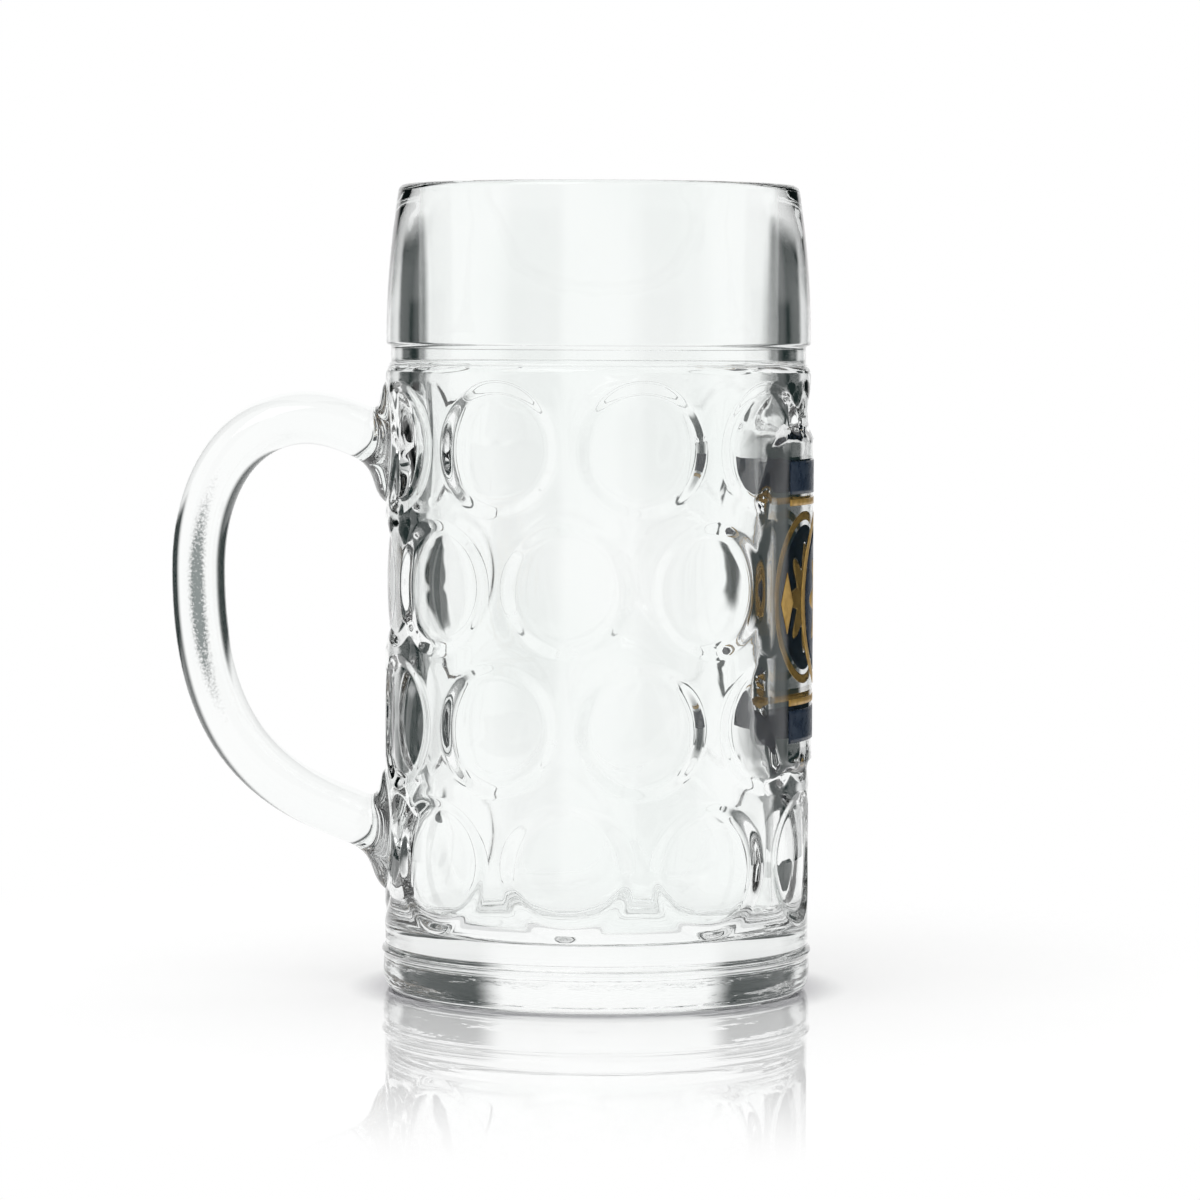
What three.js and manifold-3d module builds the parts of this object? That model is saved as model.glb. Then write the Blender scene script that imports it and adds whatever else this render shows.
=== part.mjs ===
// A one-litre pressed glass beer mug with rows of round eyes, a welded handle and an enamel print.
// Millimetres, +Z up. The cup's axis is Z and its standing ring lies on z = 0.
// The handle points to -X and the smooth printed panel faces +X.
import * as THREE from "three";
import { mergeGeometries, mergeVertices } from "three/addons/utils/BufferGeometryUtils.js";
import Module from "manifold-3d";

// Cup
const HEIGHT = 200;
const BODY_RADIUS = 52.9;
const RIM_RADIUS = 49.9;
const LIP_ROUND = 1.8;
const BORE_RADIUS = 45;
const BORE_DRAFT = 0.6;
const BORE_CORNER = 9;
const FLOOR_THICKNESS = 15;

// Foot and standing ring
const FOOT_RADIUS = 53.3;
const FOOT_HEIGHT = 9.8;
const FOOT_EDGE = 2.4;
const SEAM_HEIGHT = 0.7;
const SEAM_RISE = 0.35;
const RECESS_RADIUS = 40;
const RECESS_DEPTH = 1;
const RECESS_SLOPE = 1.5;

// Smooth drinking band and the groove under it
const BAND_HEIGHT = 39.6;
const BAND_RADIUS = 52.8;
const BAND_STRAIGHT = 19;
const GROOVE_WIDTH = 4.8;
const GROOVE_DEPTH = 1.3;
const SHOULDER_ROUND = 2.2;

// Round eyes pressed into the wall, each a bulging lens in a round socket
const EYE_ROWS = 4;
const EYES_PER_ROW = 9;
const EYE_WIDTH = 33.4;
const EYE_HEIGHT = 33.6;
const EYE_DEPTH = 0.45;
const EYE_MOAT = 1.6;
const EYE_STEEPNESS = 4;
const EYE_FOOT_MARGIN = 7.6;
const EYE_SHOULDER_MARGIN = 3.5;

// Smooth raised panel for the print
const PANEL_WIDTH = 78;
const PANEL_HEIGHT = 79;
const PANEL_CORNER_RUN = 7;
const PANEL_CORNER_RISE = 15.7;
const PANEL_DROP = 18.4;
const PANEL_RISE = 0.7;
const PANEL_EDGE = 3;
const PANEL_ROOT = 0.5;

// Handle
const HANDLE_REACH = 46.5;
const HANDLE_THICKNESS = 13.2;
const HANDLE_WIDTH = 19;
const HANDLE_BELLY = 65;
const CREST_RISE = 6;
const CREST_OUT = 19.6;
const UPPER_ROOT_DROP = 19.5;
const LOWER_ROOT_RISE = 29.7;
const LOWER_ARM_TILT = THREE.MathUtils.degToRad(21.8);
const LOWER_ARM_LENGTH = 14.1;
const BOW_FULLNESS = 0.6;
const SWEEP_FULLNESS = 0.55;
const ARM_FULLNESS = 0.7;
const PAD_HEIGHT = 30;
const PAD_WIDTH = 26;
const PAD_REACH = 9.5;
const PAD_FALL = 1.3;
const PAD_LAND = 3;
const WELD_GAP = 0.3;
const WELD_SINK = 7;

// Enamel print
const PRINT_GAP = 0.2;
const PRINT_THICKNESS = 0.25;
const PRINT_SPLIT = 0.4;
const PRINT_END_MARGIN = 5;
const PRINT_SIDE_MARGIN = 3;
const BAR_HEIGHT = 8;
const STRIPE_HEIGHT = 1.6;
const STRIPE_SPACE = 1.2;
const RING_SPACE = 2.2;
const RING_BREADTH = 2.2;
const DISC_SPACE = 1.2;
const ROSETTE_SPACE = 4.6;
const ROSETTE_LOBE = 6;
const ROSETTE_PETALS = 8;
const LOZENGE_WIDTH = 6;
const LOZENGE_HEIGHT = 15;
const LOZENGE_SPACE = 5.75;

// Mesh fineness: steps along a brick of wall, and an eye's rings as shares of the way to its edge
const BRICK_TURN_STEPS = 8;
const BRICK_RISE_STEPS = 6;
const TURN_SEGMENTS = EYES_PER_ROW * BRICK_TURN_STEPS;
const RING_SHARES = [0.4, 0.72, 1];
const BRICK_SHARE = 0.97;
const ARC_STEPS = 3;
const BAND_STEPS = 4;
const HANDLE_STEPS = 32;
const HANDLE_SIDES = 16;
const OUTLINE_STEPS = 48;
const PANEL_EDGE_STEPS = 8;
const MERGE_DISTANCE = 1e-3;

// Heights and places on the cup
const bandBottom = HEIGHT - BAND_HEIGHT;
const shoulderTop = bandBottom - GROOVE_WIDTH;
const grooveRadius = BODY_RADIUS - GROOVE_DEPTH;
const wallBottom = FOOT_HEIGHT + SEAM_HEIGHT;
const wallTop = shoulderTop - SHOULDER_ROUND;
const lowestEye = FOOT_HEIGHT + EYE_FOOT_MARGIN + EYE_HEIGHT / 2;
const highestEye = shoulderTop - EYE_SHOULDER_MARGIN - EYE_HEIGHT / 2;
const eyePitch = (highestEye - lowestEye) / (EYE_ROWS - 1);
const deepestEye = EYE_DEPTH + EYE_MOAT;
const eyeSpacing = (2 * Math.PI * BODY_RADIUS) / EYES_PER_ROW;
const panelCentre = shoulderTop - PANEL_DROP - PANEL_HEIGHT / 2;
const panelRadius = BODY_RADIUS + PANEL_RISE;
const upperRoot = shoulderTop - UPPER_ROOT_DROP;
const lowerRoot = FOOT_HEIGHT + LOWER_ROOT_RISE;

// Print: the ring fills the room that the bars and the lozenges leave on the panel
const barWidth = PANEL_WIDTH - 2 * (PANEL_CORNER_RUN + PRINT_SIDE_MARGIN);
const barTop = PANEL_HEIGHT / 2 - PRINT_END_MARGIN;
const stripeTop = barTop - BAR_HEIGHT - STRIPE_SPACE;
const ringHalfHeight = stripeTop - STRIPE_HEIGHT - RING_SPACE;
const ringHalfWidth = PANEL_WIDTH / 2 - LOZENGE_WIDTH - 2 * LOZENGE_SPACE;
const discInset = RING_BREADTH + DISC_SPACE;
const rosetteInset = discInset + ROSETTE_SPACE;

const glass = new THREE.MeshStandardMaterial({
  color: 0xe4eeea, roughness: 0.04, metalness: 0, transparent: true, opacity: 0.4,
});
const darkEnamel = new THREE.MeshStandardMaterial({ color: 0x18222f, roughness: 0.35, metalness: 0 });
const goldEnamel = new THREE.MeshStandardMaterial({ color: 0xb58f45, roughness: 0.35, metalness: 0.6 });

const wasm = await Module();
wasm.setup();

// A geometry with nothing but its points and triangles
function bare(geometry) {
  geometry.deleteAttribute("normal");
  geometry.deleteAttribute("uv");
  return geometry;
}

// A closed geometry as a solid for cutting and joining
function solidFrom(geometry) {
  const merged = mergeVertices(bare(geometry), MERGE_DISTANCE);
  const vertProperties = merged.attributes.position.array;
  const triVerts = new Uint32Array(merged.index.array);
  return new wasm.Manifold(new wasm.Mesh({ numProp: 3, vertProperties, triVerts }));
}

function geometryFrom(solid) {
  const { vertProperties, triVerts } = solid.getMesh();
  const geometry = new THREE.BufferGeometry();
  geometry.setAttribute("position", new THREE.BufferAttribute(vertProperties, 3));
  geometry.setIndex(new THREE.BufferAttribute(triVerts, 1));
  geometry.computeVertexNormals();
  return geometry;
}

// A profile of radius and height turned about Z
function turned(profile) {
  return bare(new THREE.LatheGeometry(profile, TURN_SEGMENTS).rotateX(Math.PI / 2));
}

// Points of a round corner about a centre, without its first point
function corner(radius, height, round, from, to) {
  const points = [];
  for (let i = 1; i <= ARC_STEPS; i++) {
    const angle = from + ((to - from) * i) / ARC_STEPS;
    points.push(new THREE.Vector2(radius + round * Math.cos(angle), height + round * Math.sin(angle)));
  }
  return points;
}

function footProfile() {
  const seamRadius = FOOT_RADIUS + SEAM_RISE;
  return [
    new THREE.Vector2(0, RECESS_DEPTH),
    new THREE.Vector2(RECESS_RADIUS - RECESS_SLOPE, RECESS_DEPTH),
    new THREE.Vector2(RECESS_RADIUS, 0),
    new THREE.Vector2(FOOT_RADIUS - FOOT_EDGE, 0),
    ...corner(FOOT_RADIUS - FOOT_EDGE, FOOT_EDGE, FOOT_EDGE, -Math.PI / 2, 0),
    new THREE.Vector2(FOOT_RADIUS, FOOT_HEIGHT - SEAM_HEIGHT),
    new THREE.Vector2(seamRadius, FOOT_HEIGHT),
    new THREE.Vector2(BODY_RADIUS, wallBottom),
  ];
}

function bandProfile() {
  const shoulder = corner(BODY_RADIUS - SHOULDER_ROUND, wallTop, SHOULDER_ROUND, 0, Math.PI / 2);
  const lipHeight = HEIGHT - LIP_ROUND;
  const flank = new THREE.QuadraticBezierCurve(
    new THREE.Vector2(BAND_RADIUS, bandBottom),
    new THREE.Vector2(BAND_RADIUS, bandBottom + BAND_STRAIGHT),
    new THREE.Vector2(RIM_RADIUS, lipHeight),
  );
  return [
    new THREE.Vector2(BODY_RADIUS, wallTop),
    ...shoulder.filter((point) => point.x > grooveRadius),
    new THREE.Vector2(grooveRadius, shoulderTop),
    new THREE.Vector2(grooveRadius, bandBottom),
    ...flank.getPoints(BAND_STEPS),
    ...corner(RIM_RADIUS - LIP_ROUND, lipHeight, LIP_ROUND, 0, Math.PI / 2),
    new THREE.Vector2(BORE_RADIUS + LIP_ROUND, HEIGHT),
    ...corner(BORE_RADIUS + LIP_ROUND, lipHeight, LIP_ROUND, Math.PI / 2, Math.PI),
  ];
}

function boreProfile() {
  const radius = BORE_RADIUS - BORE_DRAFT;
  const cornerHeight = FLOOR_THICKNESS + BORE_CORNER;
  return [
    new THREE.Vector2(radius, cornerHeight),
    ...corner(radius - BORE_CORNER, cornerHeight, BORE_CORNER, 0, -Math.PI / 2),
    new THREE.Vector2(0, FLOOR_THICKNESS),
  ];
}

// Point on the wall, or off it by some height, at an arc length from +X
function onWall(arc, height, off) {
  const angle = arc / BODY_RADIUS;
  const radius = BODY_RADIUS + off;
  return new THREE.Vector3(radius * Math.cos(angle), radius * Math.sin(angle), height);
}

// Corner points of an outline, with its straight edges cut into steps
function stepped(corners, steps) {
  return corners.flatMap((from, i) => {
    const edge = new THREE.LineCurve(from, corners[(i + 1) % corners.length]);
    return edge.getPoints(steps[i % steps.length]).slice(1);
  });
}

// Triangles over a first point and the rings that follow it, up to the last ring or an end point
function ringsGeometry(points, sides) {
  const rings = Math.floor((points.length - 1) / sides);
  const at = (ring, k) => 1 + ring * sides + (k % sides);
  const end = at(rings, 0);
  const index = [];
  for (let k = 0; k < sides; k++) {
    index.push(0, at(0, k), at(0, k + 1));
    for (let ring = 1; ring < rings; ring++) {
      index.push(at(ring - 1, k), at(ring, k), at(ring, k + 1));
      index.push(at(ring - 1, k), at(ring, k + 1), at(ring - 1, k + 1));
    }
    if (end < points.length) index.push(at(rings - 1, k), end, at(rings - 1, k + 1));
  }
  return new THREE.BufferGeometry().setFromPoints(points).setIndex(index);
}

// 1 on the plain land round a handle pad, where the wall has no eye, and 0 beyond it
function landShare(arc, height) {
  const halfTurn = Math.PI * BODY_RADIUS;
  const across = THREE.MathUtils.euclideanModulo(arc, 2 * halfTurn) - halfTurn;
  const shares = [upperRoot, lowerRoot].map((root) => {
    const halfWidth = PAD_WIDTH / 2 + PAD_LAND;
    const reach = Math.hypot(across / halfWidth, (height - root) / (PAD_HEIGHT / 2 + PAD_LAND));
    return 1 - THREE.MathUtils.smoothstep(reach, 1, 1 + PAD_LAND / halfWidth);
  });
  return Math.max(...shares);
}

// Depth of the pressed eyes at a place: a lens that falls away from its middle to a steep edge
function eyeDepth(arc, height) {
  let depth = 0;
  for (let row = 0; row < EYE_ROWS; row++) {
    const turns = arc / eyeSpacing - (EYES_PER_ROW + (row % 2)) / 2;
    const across = (turns - Math.round(turns)) * eyeSpacing;
    const along = height - lowestEye - row * eyePitch;
    const reach = Math.hypot((2 * across) / EYE_WIDTH, (2 * along) / EYE_HEIGHT);
    const lens = EYE_DEPTH + EYE_MOAT * reach ** 2;
    depth = Math.max(depth, lens * (1 - reach ** EYE_STEEPNESS));
  }
  return depth * (1 - landShare(arc, height));
}

// One eye's brick of wall: rings round the eye's middle, then the brick's edge
function eyeBrick(arc, height, bottom, top) {
  const pressed = (x, y) => onWall(arc + x, height + y, -eyeDepth(arc + x, height + y));
  const corners = box(eyeSpacing, top - bottom, (top + bottom) / 2 - height);
  const edge = stepped(corners, [BRICK_TURN_STEPS, BRICK_RISE_STEPS]);
  const points = [pressed(0, 0)];
  for (const ring of RING_SHARES) {
    for (const { x, y } of edge) {
      const rim = 1 / Math.hypot((2 * x) / EYE_WIDTH, (2 * y) / EYE_HEIGHT);
      const share = ring * Math.min(rim, BRICK_SHARE);
      points.push(pressed(share * x, share * y));
    }
  }
  points.push(...edge.map(({ x, y }) => pressed(x, y)));
  return ringsGeometry(points, edge.length);
}

// Rows of bricks like a wall's, each row half a brick on from the one below it
function eyeBricks() {
  const bricks = [];
  for (let row = 0; row < EYE_ROWS; row++) {
    const height = lowestEye + row * eyePitch;
    const bottom = row === 0 ? wallBottom : height - eyePitch / 2;
    const top = row === EYE_ROWS - 1 ? wallTop : height + eyePitch / 2;
    for (let i = 0; i < EYES_PER_ROW; i++) {
      const turns = i + (EYES_PER_ROW + (row % 2)) / 2;
      bricks.push(eyeBrick(turns * eyeSpacing, height, bottom, top));
    }
  }
  return bricks;
}

// A flat outline, drawn as on the unrolled panel, as a prism along X
function panelPrism(outline, hole) {
  const facing = ({ x, y }) => new THREE.Vector2(panelRadius * Math.sin(x / panelRadius), panelCentre + y);
  const shape = new THREE.Shape(outline.map(facing));
  if (hole) shape.holes.push(new THREE.Path(hole.map(facing)));
  const prism = new THREE.ExtrudeGeometry(shape, { depth: 2 * panelRadius, bevelEnabled: false });
  const across = new THREE.Vector3(0, 1, 0);
  const up = new THREE.Vector3(0, 0, 1);
  const along = new THREE.Vector3(1, 0, 0);
  return solidFrom(prism.applyMatrix4(new THREE.Matrix4().makeBasis(across, up, along)));
}

// Ring of wall between two radii and two heights
function wallRing(inner, outer, bottom, top) {
  return solidFrom(turned([
    new THREE.Vector2(inner, bottom),
    new THREE.Vector2(outer, bottom),
    new THREE.Vector2(outer, top),
    new THREE.Vector2(inner, top),
    new THREE.Vector2(inner, bottom),
  ]));
}

// The panel's eight-sided outline, grown all round by some breadth
function panelOutline(grow) {
  const side = PANEL_WIDTH / 2 + grow;
  const end = PANEL_HEIGHT / 2 + grow;
  const quarter = [[side, end - PANEL_CORNER_RISE], [side - PANEL_CORNER_RUN, end]];
  const half = [...quarter, ...quarter.toReversed().map(([x, y]) => [-x, y])];
  const corners = [...half, ...half.map(([x, y]) => [-x, -y])];
  const points = corners.map(([x, y]) => new THREE.Vector2(x, panelCentre + y));
  return stepped(points, [PANEL_EDGE_STEPS]);
}

// Plug whose edges slope out from the panel's face down to below the eyes' floor
function panelPlug() {
  const depth = deepestEye + PANEL_ROOT;
  const spread = (PANEL_EDGE * (depth + PANEL_RISE)) / (deepestEye + PANEL_RISE);
  const points = [onWall(0, panelCentre, BODY_RADIUS)];
  for (const [off, grow] of [[BODY_RADIUS, 0], [PANEL_RISE, 0], [-depth, spread]]) {
    points.push(...panelOutline(grow).map(({ x, y }) => onWall(x, y, off)));
  }
  points.push(onWall(0, panelCentre, -depth));
  return solidFrom(ringsGeometry(points, panelOutline(0).length));
}

function bodyGeometry() {
  const below = turned(footProfile());
  const above = turned([...bandProfile(), ...boreProfile()]);
  const cup = solidFrom(mergeGeometries([below, ...eyeBricks(), above]));
  const inside = BODY_RADIUS - deepestEye - PANEL_ROOT;
  const panel = wallRing(inside, panelRadius, FOOT_HEIGHT, shoulderTop).intersect(panelPlug());
  return geometryFrom(cup.add(panel));
}

// Centre line of the handle, from inside the upper weld round to inside the lower weld
function handlePath() {
  const at = (out, height) => new THREE.Vector3(-BODY_RADIUS - out, 0, height);
  const crest = upperRoot + CREST_RISE;
  const bellyHeight = lowerRoot + HANDLE_BELLY;
  const armRun = LOWER_ARM_LENGTH * Math.cos(LOWER_ARM_TILT);
  const armRise = LOWER_ARM_LENGTH * Math.sin(LOWER_ARM_TILT);
  const bowOut = HANDLE_REACH - CREST_OUT;
  const sweepDown = bellyHeight - lowerRoot - armRise;
  const armPull = ARM_FULLNESS * (HANDLE_REACH - armRun);
  const path = new THREE.CurvePath();
  path.add(new THREE.CubicBezierCurve3(
    at(-WELD_SINK, upperRoot - CREST_RISE / 4),
    at(CREST_OUT / 6, upperRoot),
    at(CREST_OUT / 2, crest),
    at(CREST_OUT, crest),
  ));
  path.add(new THREE.CubicBezierCurve3(
    at(CREST_OUT, crest),
    at(CREST_OUT + BOW_FULLNESS * bowOut, crest),
    at(HANDLE_REACH, bellyHeight + BOW_FULLNESS * (crest - bellyHeight)),
    at(HANDLE_REACH, bellyHeight),
  ));
  path.add(new THREE.CubicBezierCurve3(
    at(HANDLE_REACH, bellyHeight),
    at(HANDLE_REACH, bellyHeight - SWEEP_FULLNESS * sweepDown),
    at(armRun + armPull, lowerRoot + armRise + armPull * Math.tan(LOWER_ARM_TILT)),
    at(armRun, lowerRoot + armRise),
  ));
  path.add(new THREE.LineCurve3(
    at(armRun, lowerRoot + armRise),
    at(-WELD_SINK, lowerRoot - WELD_SINK * Math.tan(LOWER_ARM_TILT)),
  ));
  return path;
}

// How far the handle has swollen into its pad, 1 at the wall and 0 beyond the pad's reach
function padShare(point) {
  const out = Math.max(-point.x - BODY_RADIUS, 0);
  return Math.max(1 - out / PAD_REACH, 0) ** PAD_FALL;
}

function handleGeometry() {
  const path = handlePath();
  const positions = [];
  const index = [];
  for (let i = 0; i <= HANDLE_STEPS; i++) {
    const u = (1 - Math.cos((Math.PI * i) / HANDLE_STEPS)) / 2;
    const centre = path.getPointAt(u);
    const tangent = path.getTangentAt(u);
    const share = padShare(centre);
    const halfThickness = THREE.MathUtils.lerp(HANDLE_THICKNESS, PAD_HEIGHT, share) / 2;
    const halfWidth = THREE.MathUtils.lerp(HANDLE_WIDTH, PAD_WIDTH, share) / 2;
    for (let k = 0; k < HANDLE_SIDES; k++) {
      const angle = (2 * Math.PI * k) / HANDLE_SIDES;
      const across = halfThickness * Math.cos(angle);
      positions.push(
        centre.x - tangent.z * across,
        halfWidth * Math.sin(angle),
        centre.z + tangent.x * across,
      );
    }
  }
  const ring = (i, k) => i * HANDLE_SIDES + (k % HANDLE_SIDES);
  for (let i = 0; i < HANDLE_STEPS; i++) {
    for (let k = 0; k < HANDLE_SIDES; k++) {
      index.push(ring(i, k), ring(i + 1, k), ring(i, k + 1));
      index.push(ring(i, k + 1), ring(i + 1, k), ring(i + 1, k + 1));
    }
  }
  for (let k = 1; k < HANDLE_SIDES - 1; k++) {
    index.push(ring(0, 0), ring(0, k), ring(0, k + 1));
    index.push(ring(HANDLE_STEPS, 0), ring(HANDLE_STEPS, k + 1), ring(HANDLE_STEPS, k));
  }
  const geometry = new THREE.BufferGeometry();
  geometry.setAttribute("position", new THREE.Float32BufferAttribute(positions, 3));
  geometry.setIndex(index);
  const seat = turned([
    new THREE.Vector2(0, 0),
    new THREE.Vector2(BODY_RADIUS + WELD_GAP, 0),
    new THREE.Vector2(BODY_RADIUS + WELD_GAP, HEIGHT),
    new THREE.Vector2(0, HEIGHT),
  ]);
  return geometryFrom(solidFrom(geometry).subtract(solidFrom(seat)));
}

// One island of the print, cut from the thin skin that lies on the panel
function island(outline, hole) {
  return geometryFrom(skin.intersect(panelPrism(outline, hole)));
}

function box(width, height, centre) {
  const steps = [[-1, -1], [1, -1], [1, 1], [-1, 1]];
  return steps.map(([x, y]) => new THREE.Vector2((x * width) / 2, centre + (y * height) / 2));
}

function oval(halfWidth, halfHeight, swell = () => 0) {
  const points = [];
  for (let i = 0; i < OUTLINE_STEPS; i++) {
    const angle = (2 * Math.PI * i) / OUTLINE_STEPS;
    const across = (halfWidth + swell(angle)) * Math.cos(angle);
    points.push(new THREE.Vector2(across, (halfHeight + swell(angle)) * Math.sin(angle)));
  }
  return points;
}

// Oval that lies inside the ring's outer edge by some inset
function insideRing(inset, swell) {
  return oval(ringHalfWidth - inset, ringHalfHeight - inset, swell);
}

function lozenge(centre) {
  const steps = [[-1, 0], [0, -1], [1, 0], [0, 1]];
  const half = new THREE.Vector2(LOZENGE_WIDTH / 2, LOZENGE_HEIGHT / 2);
  return steps.map(([x, y]) => new THREE.Vector2(centre + x * half.x, y * half.y));
}

// Flower outline of the rosette, widened by the split that parts the two colours
function rosette(split) {
  const swing = ROSETTE_LOBE / 2;
  const inset = rosetteInset + swing - split;
  return insideRing(inset, (angle) => swing * Math.cos(ROSETTE_PETALS * angle));
}

const skinInside = panelRadius + PRINT_GAP;
const skin = wallRing(skinInside, skinInside + PRINT_THICKNESS, 0, shoulderTop);
const mug = new THREE.Group();
mug.name = "beer_mug";

function addPiece(name, geometry, material) {
  const mesh = new THREE.Mesh(geometry, material);
  mesh.name = name;
  mug.add(mesh);
}

function addPrint() {
  addPiece("print_disc", island(insideRing(discInset), rosette(PRINT_SPLIT)), darkEnamel);
  addPiece("print_rosette", island(rosette(0)), goldEnamel);
  addPiece("print_ring", island(insideRing(0), insideRing(RING_BREADTH)), goldEnamel);
  const barCentre = barTop - BAR_HEIGHT / 2;
  const stripeCentre = stripeTop - STRIPE_HEIGHT / 2;
  for (const [place, way] of [["upper", 1], ["lower", -1]]) {
    addPiece("print_bar_" + place, island(box(barWidth, BAR_HEIGHT, way * barCentre)), darkEnamel);
    addPiece("print_stripe_" + place, island(box(barWidth, STRIPE_HEIGHT, way * stripeCentre)), goldEnamel);
  }
  const lozengeCentre = ringHalfWidth + LOZENGE_SPACE + LOZENGE_WIDTH / 2;
  for (const [place, way] of [["left", -1], ["right", 1]]) {
    addPiece("print_lozenge_" + place, island(lozenge(way * lozengeCentre)), goldEnamel);
  }
}

addPiece("mug_body", bodyGeometry(), glass);
addPiece("handle", handleGeometry(), glass);
addPrint();

export default mug;
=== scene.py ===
import math

import bpy
from bpy.props import FloatProperty, FloatVectorProperty, IntProperty, PointerProperty
from mathutils import Matrix, Vector


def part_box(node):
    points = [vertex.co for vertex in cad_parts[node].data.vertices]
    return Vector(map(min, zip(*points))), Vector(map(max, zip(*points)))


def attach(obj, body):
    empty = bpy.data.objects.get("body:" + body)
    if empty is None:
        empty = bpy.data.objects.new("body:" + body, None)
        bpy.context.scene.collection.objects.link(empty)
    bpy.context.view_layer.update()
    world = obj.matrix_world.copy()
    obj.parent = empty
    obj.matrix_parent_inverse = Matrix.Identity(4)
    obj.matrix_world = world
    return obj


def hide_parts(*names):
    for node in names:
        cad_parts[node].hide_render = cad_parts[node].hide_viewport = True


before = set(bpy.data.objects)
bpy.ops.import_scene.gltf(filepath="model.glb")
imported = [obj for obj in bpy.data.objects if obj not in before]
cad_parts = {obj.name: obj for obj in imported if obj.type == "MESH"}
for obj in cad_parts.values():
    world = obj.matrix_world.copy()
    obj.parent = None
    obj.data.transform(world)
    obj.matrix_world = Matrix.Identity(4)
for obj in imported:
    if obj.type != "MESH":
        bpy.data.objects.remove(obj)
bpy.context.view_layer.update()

bl_info = {
    "name": "Glass beer mug",
    "version": (1, 0, 0),
    "blender": (4, 5, 0),
    "location": "3D View > Sidebar > Beer Mug",
    "description": "Dresses the pressed glass beer mug: cup, welded handle, enamel print and stage",
    "category": "Add Mesh",
}

CUP_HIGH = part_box("mug_body")[1]
BODY = "root"

# Mesh fineness
BRICK_TURN_STEPS = 28
BRICK_RISE_STEPS = 24
BOWL_RINGS = (0.2, 0.4, 0.58, 0.71, 0.79, 0.835, 0.88, 0.92, 0.96, 1.0)
GAP_RINGS = (0.22, 0.55)
WALL_END_STEPS = 5
ARC_STEPS = 7
CORNER_STEPS = 18
FLANK_STEPS = 22
BORE_STEPS = 24
HANDLE_SIDES = 96
BOW_STEPS = 26
FILLET_STEPS = 22
CAP_RINGS = 5
PRINT_TURN_STEPS = 192
PRINT_RINGS = 6
PRINT_STEP = 0.001
FLAT_STEPS = 12
SLOPE_STEPS = 3
STANDING_STEPS = 4
SHOULDER_STEPS = 2
GROOVE_STEPS = 4
LIP_STEPS = 3
FLOOR_RINGS = 12
FLOOR_SIDES = 96

# Colour sockets of a Mix node, which share their names with its other kinds
MIX_FIRST = 6
MIX_SECOND = 7
MIX_RESULT = 2

# Names of the marks that the meshes carry
WALL_MARK = "wall"
# Mark of the painted dark reflection streak on the front of the bow
PAINTED_STREAK_MARK = "painted_reflection_streak"

# Shape of the shoulder, the pads and the painted dark reflection streak on the bow, as angles and shares
SHOULDER_ARC = 66
LAND_FADE = 1.2
TANGENT_STEP = 1e-3
PAD_LEAVE = 0.55
PAD_ARRIVE = 0.5
PAD_INWARD = 0.5
PAD_OUTWARD = 0.6
PAINTED_STREAK_SPREAD = 0.32

# Surface detail: scales of the noises, strengths of the relief and heights where it fades
RIPPLE_SHARE = 0.85
TINT_SCALE = 24.0
HAZE_SCALE = 45.0
HAZE_ROUGHNESS = 0.012
WORN_SCALE = 900.0
WORN_ROUGHNESS = 0.06
UNDERSIDE_ROUGHNESS = 0.03
UNDERSIDE_FADE = (0.0012, 0.002)
CHILL_SCALE = 110.0
CHILL_RELIEF = 10.0
STREAK_SCALES = (150.0, 150.0, 700.0)
STREAK_RELIEF = 3.0
STREAK_FADE = (0.0095, 0.012)
DIMPLE_SCALE = 1500.0
DIMPLE_RELIEF = 5.0
MOTTLE_SCALE = 420.0
MOTTLE_ROUGHNESS = 0.12
SCREEN_SCALE = 2600.0
SCREEN_ROUGHNESS = 0.1
SCREEN_SHARE = 0.6
ENAMEL_SPECULAR = 0.12
ENAMEL_RELIEF = 0.00002
DARK_METAL = 0.0
DARK_GLOSS = 0.22
GOLD_METAL = 0.55
GOLD_GLOSS = 0.3

# Studio: flags as degrees round the cup, and directions as heights on a unit sphere
HANDLE_FLAG = (113, 149)
PRINT_FLAG = (29, 67)
FLAG_SOFT = 4
FLAG_FRONT = 0.5
FLAG_TURN = 0.05
FLAG_FOOT = (-0.2, -0.14)
CEILING = (0.55, 0.75)
CEILING_SHARE = 0.4
FLOOR_DROP = 0.0002
FLOOR_INDEX = 1.7
FLOOR_CLOUD_SCALE = 30.0
FLOOR_CLOUD_SHADE = 0.985
FLOOR_CLOUD_ROUGHNESS = 0.01
FLOOR_ROUGHNESS = 0.004
FLOOR_SEEN_THROUGH = 0.75
SOFTBOX_PLACE = (-0.7, -0.8, 1.7)
SOFTBOX_AIM = (0.0, 0.0, 0.1)
SOFTBOX_SIZE = 1.2
SOFTBOX_POWER = 7.0
GLASS_BOUNCES = 28
GLOSSY_BOUNCES = 10
CLEAR_BOUNCES = 16


# Settings


def length(name, description, default):
    """A size in metres that the user may change."""
    return FloatProperty(
        name=name, description=description, default=default, min=0.0, precision=5, unit="LENGTH"
    )


def share(name, description, default):
    """A plain number from 0 to 1 that the user may change."""
    return FloatProperty(
        name=name, description=description, default=default, min=0.0, max=1.0, subtype="FACTOR"
    )


def turn(name, description, degrees):
    """An angle that the user may change."""
    return FloatProperty(
        name=name, description=description, default=math.radians(degrees), subtype="ANGLE"
    )


def colour(name, description, default):
    """A linear colour that the user may change."""
    return FloatVectorProperty(
        name=name, description=description, default=default, size=3, min=0.0, max=1.0, subtype="COLOR"
    )


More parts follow.
